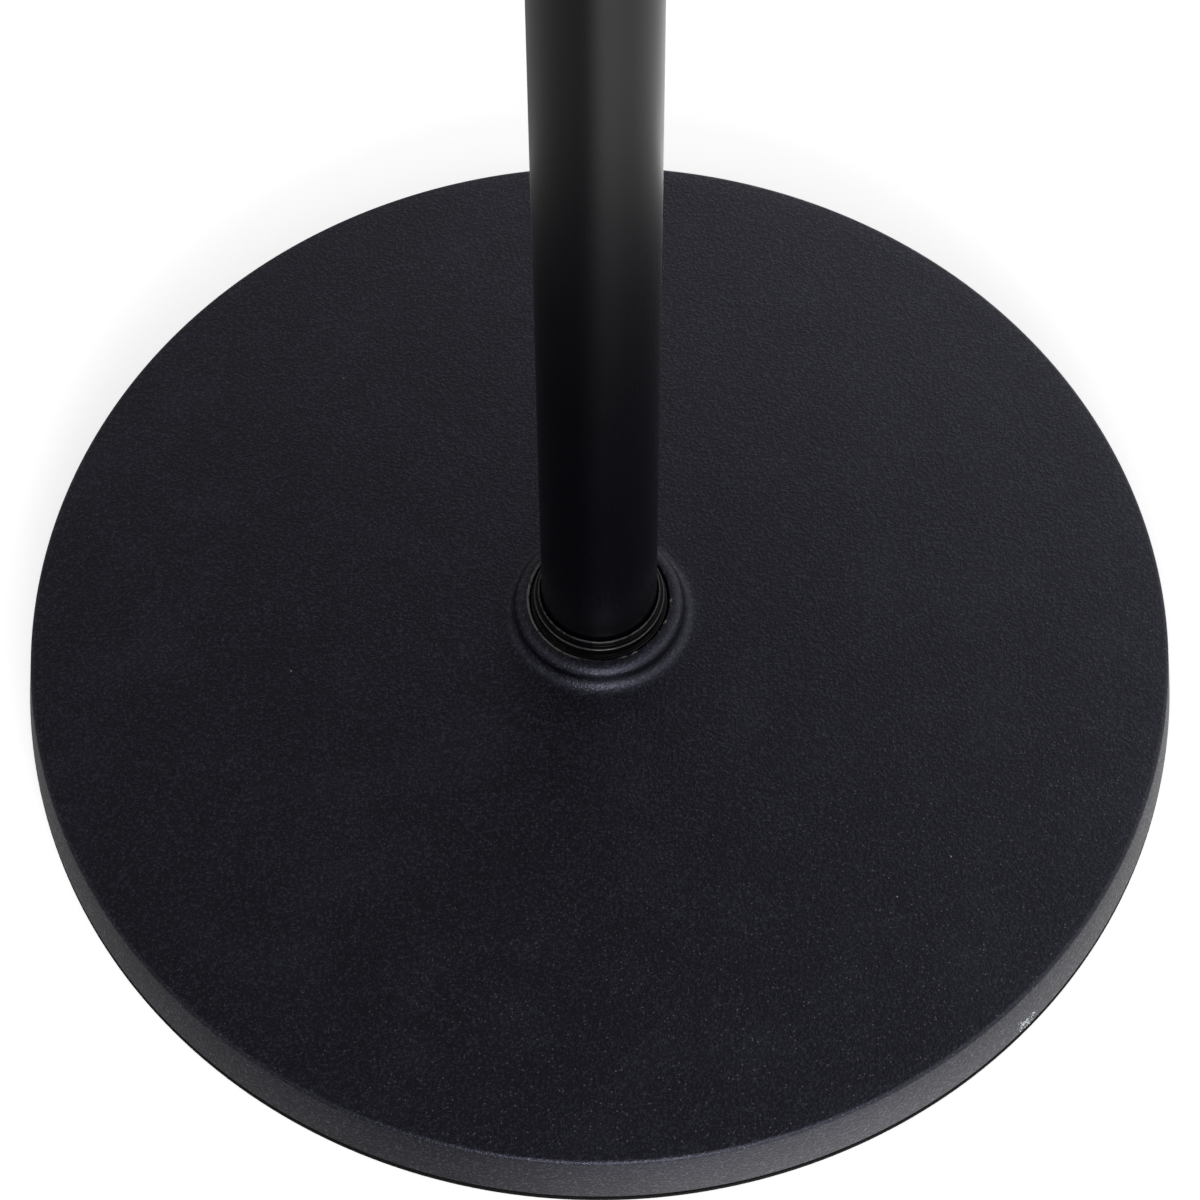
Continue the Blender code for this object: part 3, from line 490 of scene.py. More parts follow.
def glossBlack(name, dustAt, corners):
    # glossy black with faint smears, dust that stayed in the recess, and painted highlights: lighter
    # thin lines along the outer corners
    p = glossPaint
    coat = Finish(name, {"IOR": 1.5, "Specular IOR Level": 0.26})
    radius, height, x, y = coat.cylinder()
    smear = coat.noise(p["smear"], 3.0)
    color = coat.mixed(p["color"], tuple(2.2 * part for part in p["color"]), smear)
    bottom, top = dustAt
    low = coat.ramp(height, top, bottom)
    grit = coat.ramp(coat.noise(p["grit"], 3.0), 0.58, 0.72)
    side = coat.ramp(x, -0.002, -0.012) * 0.9 + 0.06
    color = coat.mixed(color, p["dust"], low * grit * side * 0.6)
    broken = coat.ramp(coat.noise(p["highlightBreaks"], 2.0), 0.38, 0.54)
    # painted highlight: thin lighter lines along the lip's and the step's outer corners
    for cornerRadius, cornerHeight, share in corners:
        paintedHighlight = coat.ramp(radius, cornerRadius - 0.00036, cornerRadius - 0.00022)
        paintedHighlight = paintedHighlight * coat.ramp(height, cornerHeight - 0.00030, cornerHeight - 0.00016)
        paintedHighlight = paintedHighlight * coat.ramp(height, cornerHeight + 0.0003, cornerHeight + 0.0001)
        color = coat.mixed(color, p["paintedHighlight"], paintedHighlight * (broken * share + (1.0 - share)))
    coat.set("Base Color", color)
    coat.set("Roughness", p["roughness"] + smear * 0.05)
    coat.bumps(coat.noise(p["peel"], 1.0), 0.000004, 0.3)
    return coat


rubberSkin = {
    "dark": (0.0030, 0.0030, 0.0032),
    "light": (0.0085, 0.0084, 0.0082),
    "dust": (0.10, 0.095, 0.085),
    "specks": (0.006, 0.00016, 0.25),
    "roughness": 0.62,
    "grain": 0.00025,
    "cloud": 0.012,
}


def blackRubber(name, shine):
    # matt rubber with a fine grain, cloudy tone and a few dust specks
    r = rubberSkin
    rubber = Finish(name, {"Specular IOR Level": shine})
    grain = rubber.noise(r["grain"], 3.0)
    cloud = rubber.noise(r["cloud"], 3.0)
    color = rubber.mixed(r["dark"], r["light"], cloud * 0.6 + grain * 0.4)
    color = rubber.mixed(color, r["dust"], rubber.specks(*r["specks"]) * 0.5)
    rubber.set("Base Color", color)
    rubber.set("Roughness", r["roughness"] + cloud * 0.18)
    rubber.bumps(grain, 0.00003, 0.5)
    return rubber


capPlastic = {
    "dark": (0.0060, 0.0060, 0.0064),
    "light": (0.0105, 0.0105, 0.0110),
    "roughness": 0.20,
    "cloud": 0.010,
    "scratch": 0.0004,
    "ripple": 0.0010,
}


def glossPlastic(name):
    # polished moulded plastic with hairline scratches
    c = capPlastic
    plastic = Finish(name, {"IOR": 1.5})
    cloud = plastic.noise(c["cloud"], 2.0)
    hair = plastic.ramp(plastic.noise(c["scratch"], 1.0, stretch=(1.0, 0.12, 1.0)), 0.62, 0.80)
    plastic.set("Base Color", plastic.mixed(c["dark"], c["light"], cloud))
    plastic.set("Roughness", c["roughness"] + cloud * 0.10 + hair * 0.12)
    plastic.bumps(plastic.noise(c["ripple"], 2.0), 0.000008, 0.4)
    return plastic


nylons = {  # dark tone, light tone, roughness
    "black_nylon": ((0.012, 0.012, 0.013), (0.026, 0.026, 0.027), 0.42),
    "natural_nylon": ((0.58, 0.56, 0.50), (0.72, 0.71, 0.66), 0.36),
}
nylonSkin = {"cloud": 0.008, "grain": 0.0003}


def nylon(name):
    # moulded nylon, slightly cloudy
    dark, light, roughness = nylons[name]
    moulded = Finish(name, {"IOR": 1.53})
    cloud = moulded.noise(nylonSkin["cloud"], 3.0)
    fine = moulded.noise(nylonSkin["grain"], 2.0)
    moulded.set("Base Color", moulded.mixed(dark, light, cloud * 0.7 + fine * 0.3))
    moulded.set("Roughness", roughness + cloud * 0.12)
    moulded.bumps(fine, 0.000015, 0.4)
    return moulded


metals = {  # dark tone, light tone, roughness, and how much the turning marks add to it
    "zinc_plated_steel": ((0.50, 0.51, 0.53), (0.64, 0.65, 0.68), 0.26, 0.10),
    "nickel_plate": ((0.56, 0.53, 0.48), (0.70, 0.67, 0.61), 0.18, 0.06),
    "blackened_steel": ((0.030, 0.030, 0.032), (0.060, 0.059, 0.058), 0.34, 0.0),
}
plating = {"cloud": 0.005, "turningMark": 0.00012, "scuff": 0.0008}


def plated(name):
    # plated steel with fine turning marks round the axis and slightly cloudy plating
    low, high, roughness, turning = metals[name]
    metal = Finish(name, {"Metallic": 1.0})
    cloud = metal.noise(plating["cloud"], 3.0)
    marks = metal.noise(plating["turningMark"], 1.0, stretch=(0.05, 0.05, 1.0))
    scuff = metal.ramp(metal.noise(plating["scuff"], 4.0), 0.58, 0.75)
    color = metal.mixed(low, high, cloud * 0.8 + marks * 0.2)
    color = metal.mixed(color, tuple(0.55 * part for part in low), scuff * 0.25)
    metal.set("Base Color", color)
    metal.set("Roughness", roughness + cloud * 0.10 + marks * turning + scuff * 0.08)
    metal.bumps(marks, 0.000006, 0.4)
    return metal


# Cast base

castBase = {
    "boltHole": 0.0055,
    "boltSeat": 0.0136,
    "tubeFloor": 0.0191,
    "ferruleSeat": 0.0221,
    "tubeSocket": 0.0128,
    "ferruleSocket": 0.0152,
    "socketBevel": 0.0003,
    "bossRadius": 0.0185,
    "shoulder": 0.0024,
    "rootFillet": 0.0028,
    "edgeHeight": 0.0164,
    "edgeDraft": 0.0017,
    "edgeRounding": 0.0009,
    "crownRise": 0.0106,
    "crownPoints": 22,
    "plate": 0.0064,
    "rimBottomRounding": 0.0004,
    "rimInner": 0.111,
    "rimDraft": 0.0015,
    "grooveOuter": 0.1225,
    "grooveInner": 0.119,
    "grooveDepth": 0.0032,
    "hubRadius": 0.022,
    "hubBottom": 0.0045,
    "boltRecess": 0.015,
    "fillet": 0.0015,
    "ribCount": 6,
    "ribWidth": 0.005,
    "ribDraft": 0.0007,
    "ribFlare": 0.0018,
    "ribBevel": 0.0008,
    "chipAt": (0.0904, -0.0888, 0.0046),  # a chip near the lower edge of the rim, front right
}


def crownHeight(radius):
    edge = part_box("base_casting")[1][0] - castBase["edgeDraft"]
    return castBase["edgeHeight"] + castBase["crownRise"] * (1.0 - (radius / edge) ** 2)


def makeCastBase(coat):
    c = castBase
    outer, rimBottom, bossTop = reach("base_casting")
    topEdge = outer - c["edgeDraft"]
    bossRoot = crownHeight(c["bossRadius"])
    grooveTop = rimBottom + c["grooveDepth"]
    corners = [
        (c["boltHole"], c["boltSeat"]),
        (c["boltHole"], c["tubeFloor"]),
        (c["tubeSocket"], c["tubeFloor"]),
        (c["tubeSocket"], c["ferruleSeat"]),
        (c["ferruleSocket"], c["ferruleSeat"]),
        (c["ferruleSocket"], bossTop, c["socketBevel"]),
        (c["bossRadius"], bossTop, c["shoulder"]),
        (c["bossRadius"], bossRoot, c["rootFillet"]),
    ]
    step = (topEdge - c["bossRadius"]) / c["crownPoints"]
    for index in range(1, c["crownPoints"]):
        radius = c["bossRadius"] + step * index
        corners.append((radius, crownHeight(radius)))
    corners += [
        (topEdge, c["edgeHeight"], c["edgeRounding"]),
        (outer, rimBottom, c["rimBottomRounding"]),
        (c["grooveOuter"], rimBottom),
        (c["grooveOuter"], grooveTop),
        (c["grooveInner"], grooveTop),
        (c["grooveInner"], rimBottom),
        (c["rimInner"], rimBottom, c["rimBottomRounding"]),
        (c["rimInner"] - c["rimDraft"], crownHeight(c["rimInner"]) - c["plate"], c["fillet"]),
        (c["hubRadius"] + c["rimDraft"], crownHeight(c["hubRadius"]) - c["plate"], c["fillet"]),
        (c["hubRadius"], c["hubBottom"], c["fillet"] / 2),
        (c["boltRecess"], c["hubBottom"], c["fillet"] / 3),
        (c["boltRecess"], c["boltSeat"]),
    ]
    casting = turned(corners, quality["baseSteps"])
    casting = joined(casting, makeRibs(), "UNION")
    finished("cast_base", casting, coat, "stand", "textured_black_casting", "base_casting")


def makeRibs():
    # ribs under the plate: a flared section at the hub and one at the rim, skinned between them
    c = castBase
    ends = ((c["boltRecess"] + c["hubRadius"]) / 2, (c["rimInner"] + c["grooveInner"]) / 2)
    half = c["ribWidth"] / 2
    low = half - c["ribDraft"]
    bevel, fillet, flare, bottom = c["ribBevel"], c["fillet"], c["ribFlare"], c["hubBottom"]
    ribs = bmesh.new()
    for index in range(c["ribCount"]):
        rings = []
        for x in ends:
            top = crownHeight(x) - c["plate"] / 2
            shoulder = top - c["plate"] / 2
            right = [
                (low - bevel, bottom),
                (low, bottom + bevel),
                (half, shoulder - fillet),
                (half + flare * 0.3, shoulder - fillet * 0.3),
                (half + flare, shoulder),
                (half + flare, top),
            ]
            left = [(-y, z) for y, z in reversed(right)]
            corners = [ribs.verts.new((x, y, z)) for y, z in left[-1:] + right + left[:-1]]
            rings.append(ribs.faces.new(corners))
        edges = rings[0].edges[:] + rings[1].edges[:]
        bmesh.ops.bridge_loops(ribs, edges=edges)
        turn = Matrix.Rotation(math.tau * (index + 0.5) / c["ribCount"], 4, "Z")
        bmesh.ops.transform(ribs, matrix=turn, verts=rings[0].verts[:] + rings[1].verts[:])
    bmesh.ops.recalc_face_normals(ribs, faces=ribs.faces)
    return ribs


# Rubber ring under the rim

rubberRing = {
    "width": 0.011,
    "lip": 0.002,
    "rounding": 0.0007,
    "gap": 0.0003,  # on both sides, in the casting's groove
    "grooves": 3,  # fine ones, in the sole
    "groove": 0.0012,
    "grooveDepth": 0.0005,
}


def makeRubberRing(rubber):
    r = rubberRing
    outer, bottom, top = reach("base_rubber_ring")
    inner = outer - r["width"]
    tongueOuter = castBase["grooveOuter"] - r["gap"]
    tongueInner = castBase["grooveInner"] + r["gap"]
    corners = [(inner, bottom, rounded)]
    for index in range(1, r["grooves"] + 1):
        middle = inner + r["width"] * index / (r["grooves"] + 1)
        corners += [(middle - r["groove"] / 2, bottom), (middle, bottom + r["grooveDepth"], crisp),
                    (middle + r["groove"] / 2, bottom)]
    corners += [
        (outer, bottom, r["rounding"]),
        (outer, bottom + r["lip"], eased),
        (tongueOuter, bottom + r["lip"]),
        (tongueOuter, top, rounded),
        (tongueInner, top, rounded),
        (tongueInner, bottom + r["lip"]),
        (inner, bottom + r["lip"], rounded),
    ]
    ring = turned(corners, quality["baseSteps"])
    finished("rubber_foot_ring", ring, rubber, "stand", "black_rubber", "base_rubber_ring")


# Stepped ring round the foot of the tube

ferrule = {
    "bore": 0.0128,
    "lip": 0.0133,
    "step": 0.0142,
    "recess": 0.0004,  # of the lowest step, below the top of the boss
    "stepHeight": 0.0022,
    "rounding": 0.0003,
    "cornerFillet": 0.00004,
    "boreRounding": 0.00015,
}


def makeFerrule(coat):
    f = ferrule
    skirt, bottom, top = reach("foot_ferrule")
    tread = bossTop - f["recess"]
    stepTop = bossTop + f["stepHeight"]
    corners = [
        (f["bore"], bottom, crisp),
        (skirt, bottom, crisp),
        (skirt, tread, f["rounding"]),
        (f["step"], tread, f["cornerFillet"]),
        (f["step"], stepTop, f["rounding"]),
        (f["lip"], stepTop, f["cornerFillet"]),
        (f["lip"], top, f["rounding"]),
        (f["bore"], top, f["boreRounding"]),
    ]
    ring = turned(corners)
    finished("foot_ferrule_ring", ring, coat, "stand", "gloss_black_metal", "foot_ferrule")


# Tubes

tubes = {
    "lowerBore": 0.0113,
    "upperBore": 0.0083,
    "rounding": 0.0004,
    "pinHole": 0.0018,
    "drillSpans": [(-0.02, 0.02)],
}


def drilledForPin(bm):
    # the guide pin's hole, straight through the upper tube and the guide inside it
    height = midHeight("mast_guide_pin")
    drill = rodsAlongX(tubes["pinHole"], tubes["drillSpans"], height, quality["pinSteps"])
    return joined(bm, drill, "DIFFERENCE")


def makeTubes(lowerCoat, upperCoat):
    tube = plainRing("lower_tube", tubes["lowerBore"], tubes["rounding"])
    finished("lower_tube_shell", tube, lowerCoat, "stand", "satin_black_steel", "lower_tube")
    tube = drilledForPin(plainRing("upper_tube", tubes["upperBore"], tubes["rounding"]))
    finished("upper_tube_shell", tube, upperCoat, "mast", "satin_black_steel", "upper_tube")


# Bolt and washers under the base, and the threaded ring in the foot of the tube

bolt = {
    "thread": 0.005,
    "pitch": 0.0015,
    "threadDepth": 0.0009,
    "threadChamfer": 0.0009,
    "acrossFlats": 0.017,
    "headHeight": 0.0064,
    "headFaces": (0.93, 0.98),  # round outer and inner face of the head, as shares of the flats
    "headCones": (0.0015, 0.0005),
    "cornerRoom": 1.02,
    "bore": 0.0053,
    "insertRounding": 0.0006,
    "springThickness": 0.0022,
    "springRise": 0.0006,
    "springOpening": math.radians(10),
}


def makeBolt(zinc):
    b = bolt
    bottom, tip = reach("base_bolt")[1:]
    flat = b["acrossFlats"] / 2
    wide = b["acrossFlats"] / math.sqrt(3.0) * b["cornerRoom"]  # just outside the corners
    headTop = bottom + b["headHeight"]
    head = hexagon(b["acrossFlats"], b["headHeight"], (bottom + headTop) / 2)
    cone = [
        (0.0, bottom),
        (flat * b["headFaces"][0], bottom),
        (wide, bottom + b["headCones"][0]),
        (wide, headTop - b["headCones"][1]),
        (flat * b["headFaces"][1], headTop),
        (0.0, headTop),
    ]
    head = joined(head, turned(cone, quality["smallSteps"], False), "INTERSECT")
    shank = threaded(b["thread"], b, headTop - quality["overlap"], tip)
    body = joined(head, shank, "UNION")
    finished("base_bolt_m10", body, zinc, "stand", "zinc_steel", "base_bolt")


def makeWashers(zinc):
    b = bolt
    outer, bottom, top = reach("base_spring_washer")
    spring = splitRing(outer, b["bore"], bottom, b["springThickness"], b["springOpening"],
                       b["springRise"])
    finished("base_spring_ring", spring, zinc, "stand", "zinc_steel", "base_spring_washer")
    flat = plainRing("base_washer", b["bore"], eased, quality["smallSteps"])
    finished("base_flat_washer", flat, zinc, "stand", "zinc_steel", "base_washer")
    ring = plainRing("foot_insert", b["bore"], b["insertRounding"], quality["smallSteps"])
    finished("foot_threaded_ring", ring, zinc, "stand", "zinc_steel", "foot_insert")


# Clutch housing on the top of the lower tube, with its two set screws

housing = {
    "socket": 0.0128,
    "skirt": 0.0156,
    "skirtRounding": 0.0009,
    "flare": 0.006,
    "flarePoints": 12,
    "shoulderDrop": 0.002,
    "shoulder": 0.003,
    "shoulderRounding": 0.0008,
    "web": (0.0003, 0.0053),  # above the top of the tube
    "mouthBevel": 0.0004,
    "spigot": 0.0155,
    "seat": 0.0133,
    "throat": 0.0101,
    "pitch": 0.002,
    "threadDepth": 0.0010,
    "threadChamfer": 0.001,
    "threadStart": 0.0012,
    "neckInset": (0.0002, 0.0003),  # keeps the neck inside the thread's own root and end
    "screwHole": 0.0023,
    "screwHoleSpans": [(-0.02, -0.0115), (0.0115, 0.02)],
    "screw": 0.0020,
    "screwSocket": 0.0020,
}


def makeHousing(diecast, blackened):
    h = housing
    shoulder, bottom, top = reach("clutch_housing")
    shoulderTop = tubeTop - h["shoulderDrop"]
    shoulderBottom = shoulderTop - h["shoulder"]
    neck = h["spigot"] - h["threadDepth"] - h["neckInset"][0]
    neckTop = top - h["neckInset"][1]
    corners = [(0.0, bottom), (h["skirt"], bottom, h["skirtRounding"])]
    for index in range(h["flarePoints"] + 1):
        angle = math.pi / 2 * index / h["flarePoints"]
        corners.append((h["skirt"] + (shoulder - h["skirt"]) * (1 - math.cos(angle)),
                        shoulderBottom - h["flare"] * (1 - math.sin(angle))))
    corners += [
        (shoulder, shoulderTop, h["shoulderRounding"]),
        (neck, shoulderTop, eased),
        (neck, neckTop),
        (0.0, neckTop),
    ]
    body = turned(corners, closed=False)
    thread = threaded(h["spigot"], h, shoulderTop + h["threadStart"], top, quality["smallSteps"])
    body = joined(body, thread, "UNION")
    low, high = (tubeTop + height for height in h["web"])
    over, bevel = 0.002, h["mouthBevel"]  # the cavity runs past both ends
    cavity = [
        (0.0, bottom - over),
        (h["socket"] + over, bottom - over),
        (h["socket"], bottom + bevel),
        (h["socket"], low),
        (h["throat"], low),
        (h["throat"], high),
        (h["seat"], high),
        (h["seat"], top - bevel),
        (h["seat"] + over, top + over - bevel),
        (0.0, top + over - bevel),
    ]
    body = joined(body, turned(cavity, closed=False), "DIFFERENCE")
    screwHeight = midHeight("housing_set_screw_left")
    holes = rodsAlongX(h["screwHole"], h["screwHoleSpans"], screwHeight, quality["screwSteps"])
    body = joined(body, holes, "DIFFERENCE")
    finished("clutch_housing_body", body, diecast, "stand", "satin_black_diecast", "clutch_housing")
    for name, side in (("left", -1), ("right", 1)):
        node = "housing_set_screw_" + name
        inner, outer = sorted(abs(corner[0]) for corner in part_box(node))
        rod = [(0.0, inner), (h["screw"], inner, rounded), (h["screw"], outer, eased), (0.0, outer)]
        screw = turned(rod, quality["screwSteps"], False)
        screw = joined(screw, hexagon(h["screwSocket"], outer - inner, outer), "DIFFERENCE")
        screw = laidAlongX(screw, screwHeight, side)
        finished("clutch_set_screw_" + name, screw, blackened, "stand", "blackened_steel", node)


# Inside the clutch: split collet, the cone ring that closes it, slip washer and snap ring

collet = {
    "bore": 0.0098,
    "footHeight": 0.0065,
    "fingerRoot": 0.0126,
    "fingerTip": 0.0112,
    "slot": 0.0012,
    "turns": [math.radians(5.625 + 60 * index) for index in range(3)],
}
closer = {
    "boreBottom": 0.01205,
    "boreTop": 0.01142,
    "washerBore": 0.0126,
    "snapWidth": 0.0018,
    "snapOpening": math.radians(32),
}


def makeCollet(white):
    c = collet
    foot, bottom, top = reach("clutch_collet")
    footTop = bottom + c["footHeight"]
    corners = [
        (c["bore"], bottom, eased),
        (foot, bottom, rounded),
        (foot, footTop, eased),
        (c["fingerRoot"], footTop, crisp),
        (c["fingerTip"], top, eased),
        (c["bore"], top, eased),
    ]
    body = turned(corners)
    body = slotted(body, 4 * foot, c["slot"], footTop + c["slot"], top + c["slot"], c["turns"])
    finished("split_collet", body, white, "collet", "natural_nylon", "clutch_collet")


def makeCloser(zinc, black, blackened):
    c = closer
    outer, bottom, top = reach("pressure_ring")
    corners = [
        (c["boreBottom"], bottom, eased),
        (outer, bottom, rounded),
        (outer, top, rounded),
        (c["boreTop"], top, eased),
    ]
    finished("cone_ring", turned(corners), zinc, "closer", "zinc_steel", "pressure_ring")
    washer = plainRing("slip_washer", c["washerBore"], crisp, quality["smallSteps"])
    finished("thin_slip_washer", washer, black, "closer", "black_nylon", "slip_washer")
    low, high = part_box("clutch_snap_ring")
    outer = high[1]
    ring = splitRing(outer, outer - c["snapWidth"], low[2], high[2] - low[2], c["snapOpening"])
    finished("sleeve_snap_ring", ring, blackened, "grip", "blackened_steel", "clutch_snap_ring")


# Turning part of the clutch: sleeve, ribbed rubber grip and cap

sleeve = {
    "bore": 0.0158,
    "flangeHeight": 0.0018,
    "flangeRounding": 0.0006,
    "body": 0.0182,
    "neck": 0.0170,
    "neckGap": 0.0003,  # below the cap
    "throat": 0.0101,
    "lip": 0.0025,
    "groove": 0.0167,
    "grooveRoom": (0.0003, 0.00015),  # below and above the snap ring
}
grip = {
    "ribs": 16,
    "stepsPerRib": 24,
    "bore": 0.0185,
    "ribHeight": 0.0009,
    "valleyPower": 5,  # narrower valleys where it is larger
    "endInset": 0.0017,  # of the rounded ends, below the tops of the ribs
    "endLength": 0.0016,
    "endShare": 0.9,  # of the inset that is round; a straight draft adds to it
    "endDraft": 0.0001,
    "rows": 26,
}
cap = {
    "skirtInner": 0.0173,
    "bore": 0.0103,
    "plate": 0.0026,
    "rounding": 0.0016,
    "boreChamfer": 0.0008,
}


def makeSleeve(diecast):
    s = sleeve
    flange, bottom, top = reach("clutch_sleeve")
    neckBottom = reach("clutch_cap")[1] - s["neckGap"]
    flangeTop = bottom + s["flangeHeight"]
    snapBottom, snapTop = reach("clutch_snap_ring")[1:]
    grooveBottom, grooveTop = snapBottom - s["grooveRoom"][0], snapTop + s["grooveRoom"][1]
    corners = [
        (s["bore"], bottom, eased),
        (flange, bottom, s["flangeRounding"]),
        (flange, flangeTop, eased),
        (s["body"], flangeTop),
        (s["body"], neckBottom, crisp),
        (s["neck"], neckBottom, crisp),
        (s["neck"], top, eased),
        (s["throat"], top, crisp),
        (s["throat"], top - s["lip"], crisp),
        (s["bore"], top - s["lip"]),
        (s["bore"], grooveTop),
        (s["groove"], grooveTop),
        (s["groove"], grooveBottom),
        (s["bore"], grooveBottom),
    ]
    body = turned(corners)
    finished("turning_sleeve", body, diecast, "grip", "satin_black_diecast", "clutch_sleeve")


def makeGrip(rubber):
    g = grip
    outer, bottom, top = reach("clutch_grip")
    corners = [(g["bore"], bottom, crisp)]
    for index in range(g["rows"] + 1):
        corners.append((outer, bottom + (top - bottom) * index / g["rows"]))
    corners.append((g["bore"], top, crisp))

    def depthAt(radius, angle, height):
        if radius < outer - g["ribHeight"]:
            return 0.0
        across = (angle * g["ribs"] / math.tau) % 1.0 * 2.0 - 1.0
        end = min(height - bottom, top - height) / g["endLength"]
        ease = max(0.0, 1.0 - end)
        valley = g["ribHeight"] * abs(across) ** g["valleyPower"] * min(1.0, end)
        curve = 1.0 - math.sqrt(max(0.0, 1.0 - ease * ease))
        return valley + g["endInset"] * curve * g["endShare"] + g["endDraft"] * ease

    body = waved(turned(corners, g["ribs"] * g["stepsPerRib"]), depthAt)
    finished("ribbed_grip", body, rubber, "grip", "black_rubber", "clutch_grip")


def makeCap(plastic):
    c = cap
    outer, bottom, top = reach("clutch_cap")
    plateBottom = top - c["plate"]
    corners = [
        (c["skirtInner"], bottom, crisp),
        (outer, bottom, eased),
        (outer, top, c["rounding"]),
        (c["bore"], top, c["boreChamfer"]),
        (c["bore"], plateBottom, crisp),
        (c["skirtInner"], plateBottom, eased),
    ]
    body = turned(corners)
    finished("clutch_top_cap", body, plastic, "grip", "gloss_black_plastic", "clutch_cap")


# Guide and pin at the lower end of the upper tube

guide = {
    "bore": 0.0098,
    "hole": 0.004,
    "web": 0.003,
    "slot": 0.0015,
    "slotDepth": 0.016,
    "endRounding": 0.0008,
    "turns": [math.pi / 4, 3 * math.pi / 4],
}


def makeGuide(black, zinc):
    g = guide
    outer, bottom, top = reach("mast_guide")
    webTop = bottom + g["web"]
    corners = [
        (g["hole"], bottom, rounded),
        (outer, bottom, g["endRounding"]),
        (outer, top, eased),
        (g["bore"], top, eased),
        (g["bore"], webTop),
        (g["hole"], webTop, eased),
    ]
    body = turned(corners)
    body = slotted(body, 4 * outer, g["slot"], top - g["slotDepth"], top + g["slot"], g["turns"])
    finished("mast_guide_bush", drilledForPin(body), black, "mast", "black_nylon", "mast_guide")
    low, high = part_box("mast_guide_pin")
    radius, end = (high[2] - low[2]) / 2, high[0]
    rod = [(0.0, -end), (radius, -end, eased), (radius, end, eased), (0.0, end)]
    pin = laidAlongX(turned(rod, quality["pinSteps"], False), midHeight("mast_guide_pin"))
    finished("mast_cross_pin", pin, zinc, "mast", "zinc_steel", "mast_guide_pin")


# Top of the mast: stud, thread adapter, knurled lock ring and its washer

stud = {
    "seatGap": 0.0003,  # above the end of the tube
    "shank": 0.0080,
    "shankBevel": 0.0008,
    "flangeHeight": 0.0045,
    "acrossFlats": 0.017,
    "thread": 0.0047625,
    "pitch": 0.0015875,
    "threadDepth": 0.00095,
    "threadChamfer": 0.0009,
    "cutter": (0.04, 0.01),  # the block that cuts each flat
}
adapter = {
    "bore": 0.0050625,
    "boreBevel": 0.0004,
    "pitch": 0.0254 / 27,
    "threadDepth": 0.00056,
    "threadChamfer": 0.0008,
    "slotLength": 0.03,  # right across
    "slotWidth": 0.0016,
    "slotDepth": 0.0018,
}
lockRing = {
    "bore": 0.0082375,
    "knurls": 64,
    "stepsPerKnurl": 6,
    "knurlDepth": 0.00045,
    "bevel": 0.0009,
    "crowning": 0.0001,
    "crownStart": 1.3,  # in bevels from each end
}


def makeStud(zinc):
    s = stud
    outer, bottom, tip = reach("top_stud")
    seat = mastTop + s["seatGap"]
    flangeTop = seat + s["flangeHeight"]
    flatBottom = seat + s["flangeHeight"] / 4
    corners = [
        (0.0, bottom),
        (s["shank"], bottom, s["shankBevel"]),
        (s["shank"], seat, eased),
        (outer, seat, eased),
        (outer, flangeTop, rounded),
        (0.0, flangeTop),
    ]
    body = turned(corners, closed=False)
    length, width = s["cutter"]
    for side in (-1, 1):
        size = (length, width, flangeTop - flatBottom + quality["overlap"])
        place = (0, side * (s["acrossFlats"] / 2 + width / 2), flatBottom + size[2] / 2)
        body = joined(body, boxShape(size, Matrix.Translation(place)), "DIFFERENCE")
    thread = threaded(s["thread"], s, flangeTop - quality["overlap"], tip)
    finished("mast_stud", joined(body, thread, "UNION"), zinc, "mast", "zinc_steel", "top_stud")


def makeAdapter(nickel):
    a = adapter
    outer, bottom, top = reach("thread_adapter")
    body = threaded(outer, a, bottom, top, quality["smallSteps"])
    over, bevel = quality["overlap"], a["boreBevel"]
    wide = a["bore"] + over + bevel
    bore = [
        (0.0, bottom - over),
        (wide, bottom - over),
        (a["bore"], bottom + bevel),
        (a["bore"], top - bevel),
        (wide, top + over),
        (0.0, top + over),
    ]
    body = joined(body, turned(bore, quality["threadSteps"], False), "DIFFERENCE")
    size = (a["slotLength"], a["slotWidth"], 2 * a["slotDepth"])
    body = joined(body, boxShape(size, Matrix.Translation((0, 0, top))), "DIFFERENCE")
    finished("microphone_thread_adapter", body, nickel, "mast", "nickel_plate", "thread_adapter")


def makeLockRing(zinc, black):
    k = lockRing
    outer, bottom, top = reach("lock_ring")
    rim = outer - k["crowning"]
    flat = outer - k["knurlDepth"] - k["bevel"]
    corners = [
        (k["bore"], bottom, eased),
        (flat, bottom, crisp),
        (rim, bottom + k["bevel"]),
        (outer, bottom + k["bevel"] * k["crownStart"]),
        (outer, top - k["bevel"] * k["crownStart"]),
        (rim, top - k["bevel"]),
        (flat, top, crisp),
        (k["bore"], top, eased),
    ]

    def depthAt(radius, angle, height):
        if radius < rim - 1e-6:  # only the rim is knurled
            return 0.0
        across = abs((angle * k["knurls"] / math.tau) % 1.0 * 2.0 - 1.0)
        return k["knurlDepth"] * across

    body = waved(turned(corners, k["knurls"] * k["stepsPerKnurl"]), depthAt)
    finished("knurled_lock_ring", body, zinc, "lock_ring", "zinc_steel", "lock_ring")
    washer = plainRing("lock_ring_washer", k["bore"], eased)
    finished("lock_ring_pad", washer, black, "lock_washer", "black_nylon", "lock_ring_washer")


# Stage, lights and camera

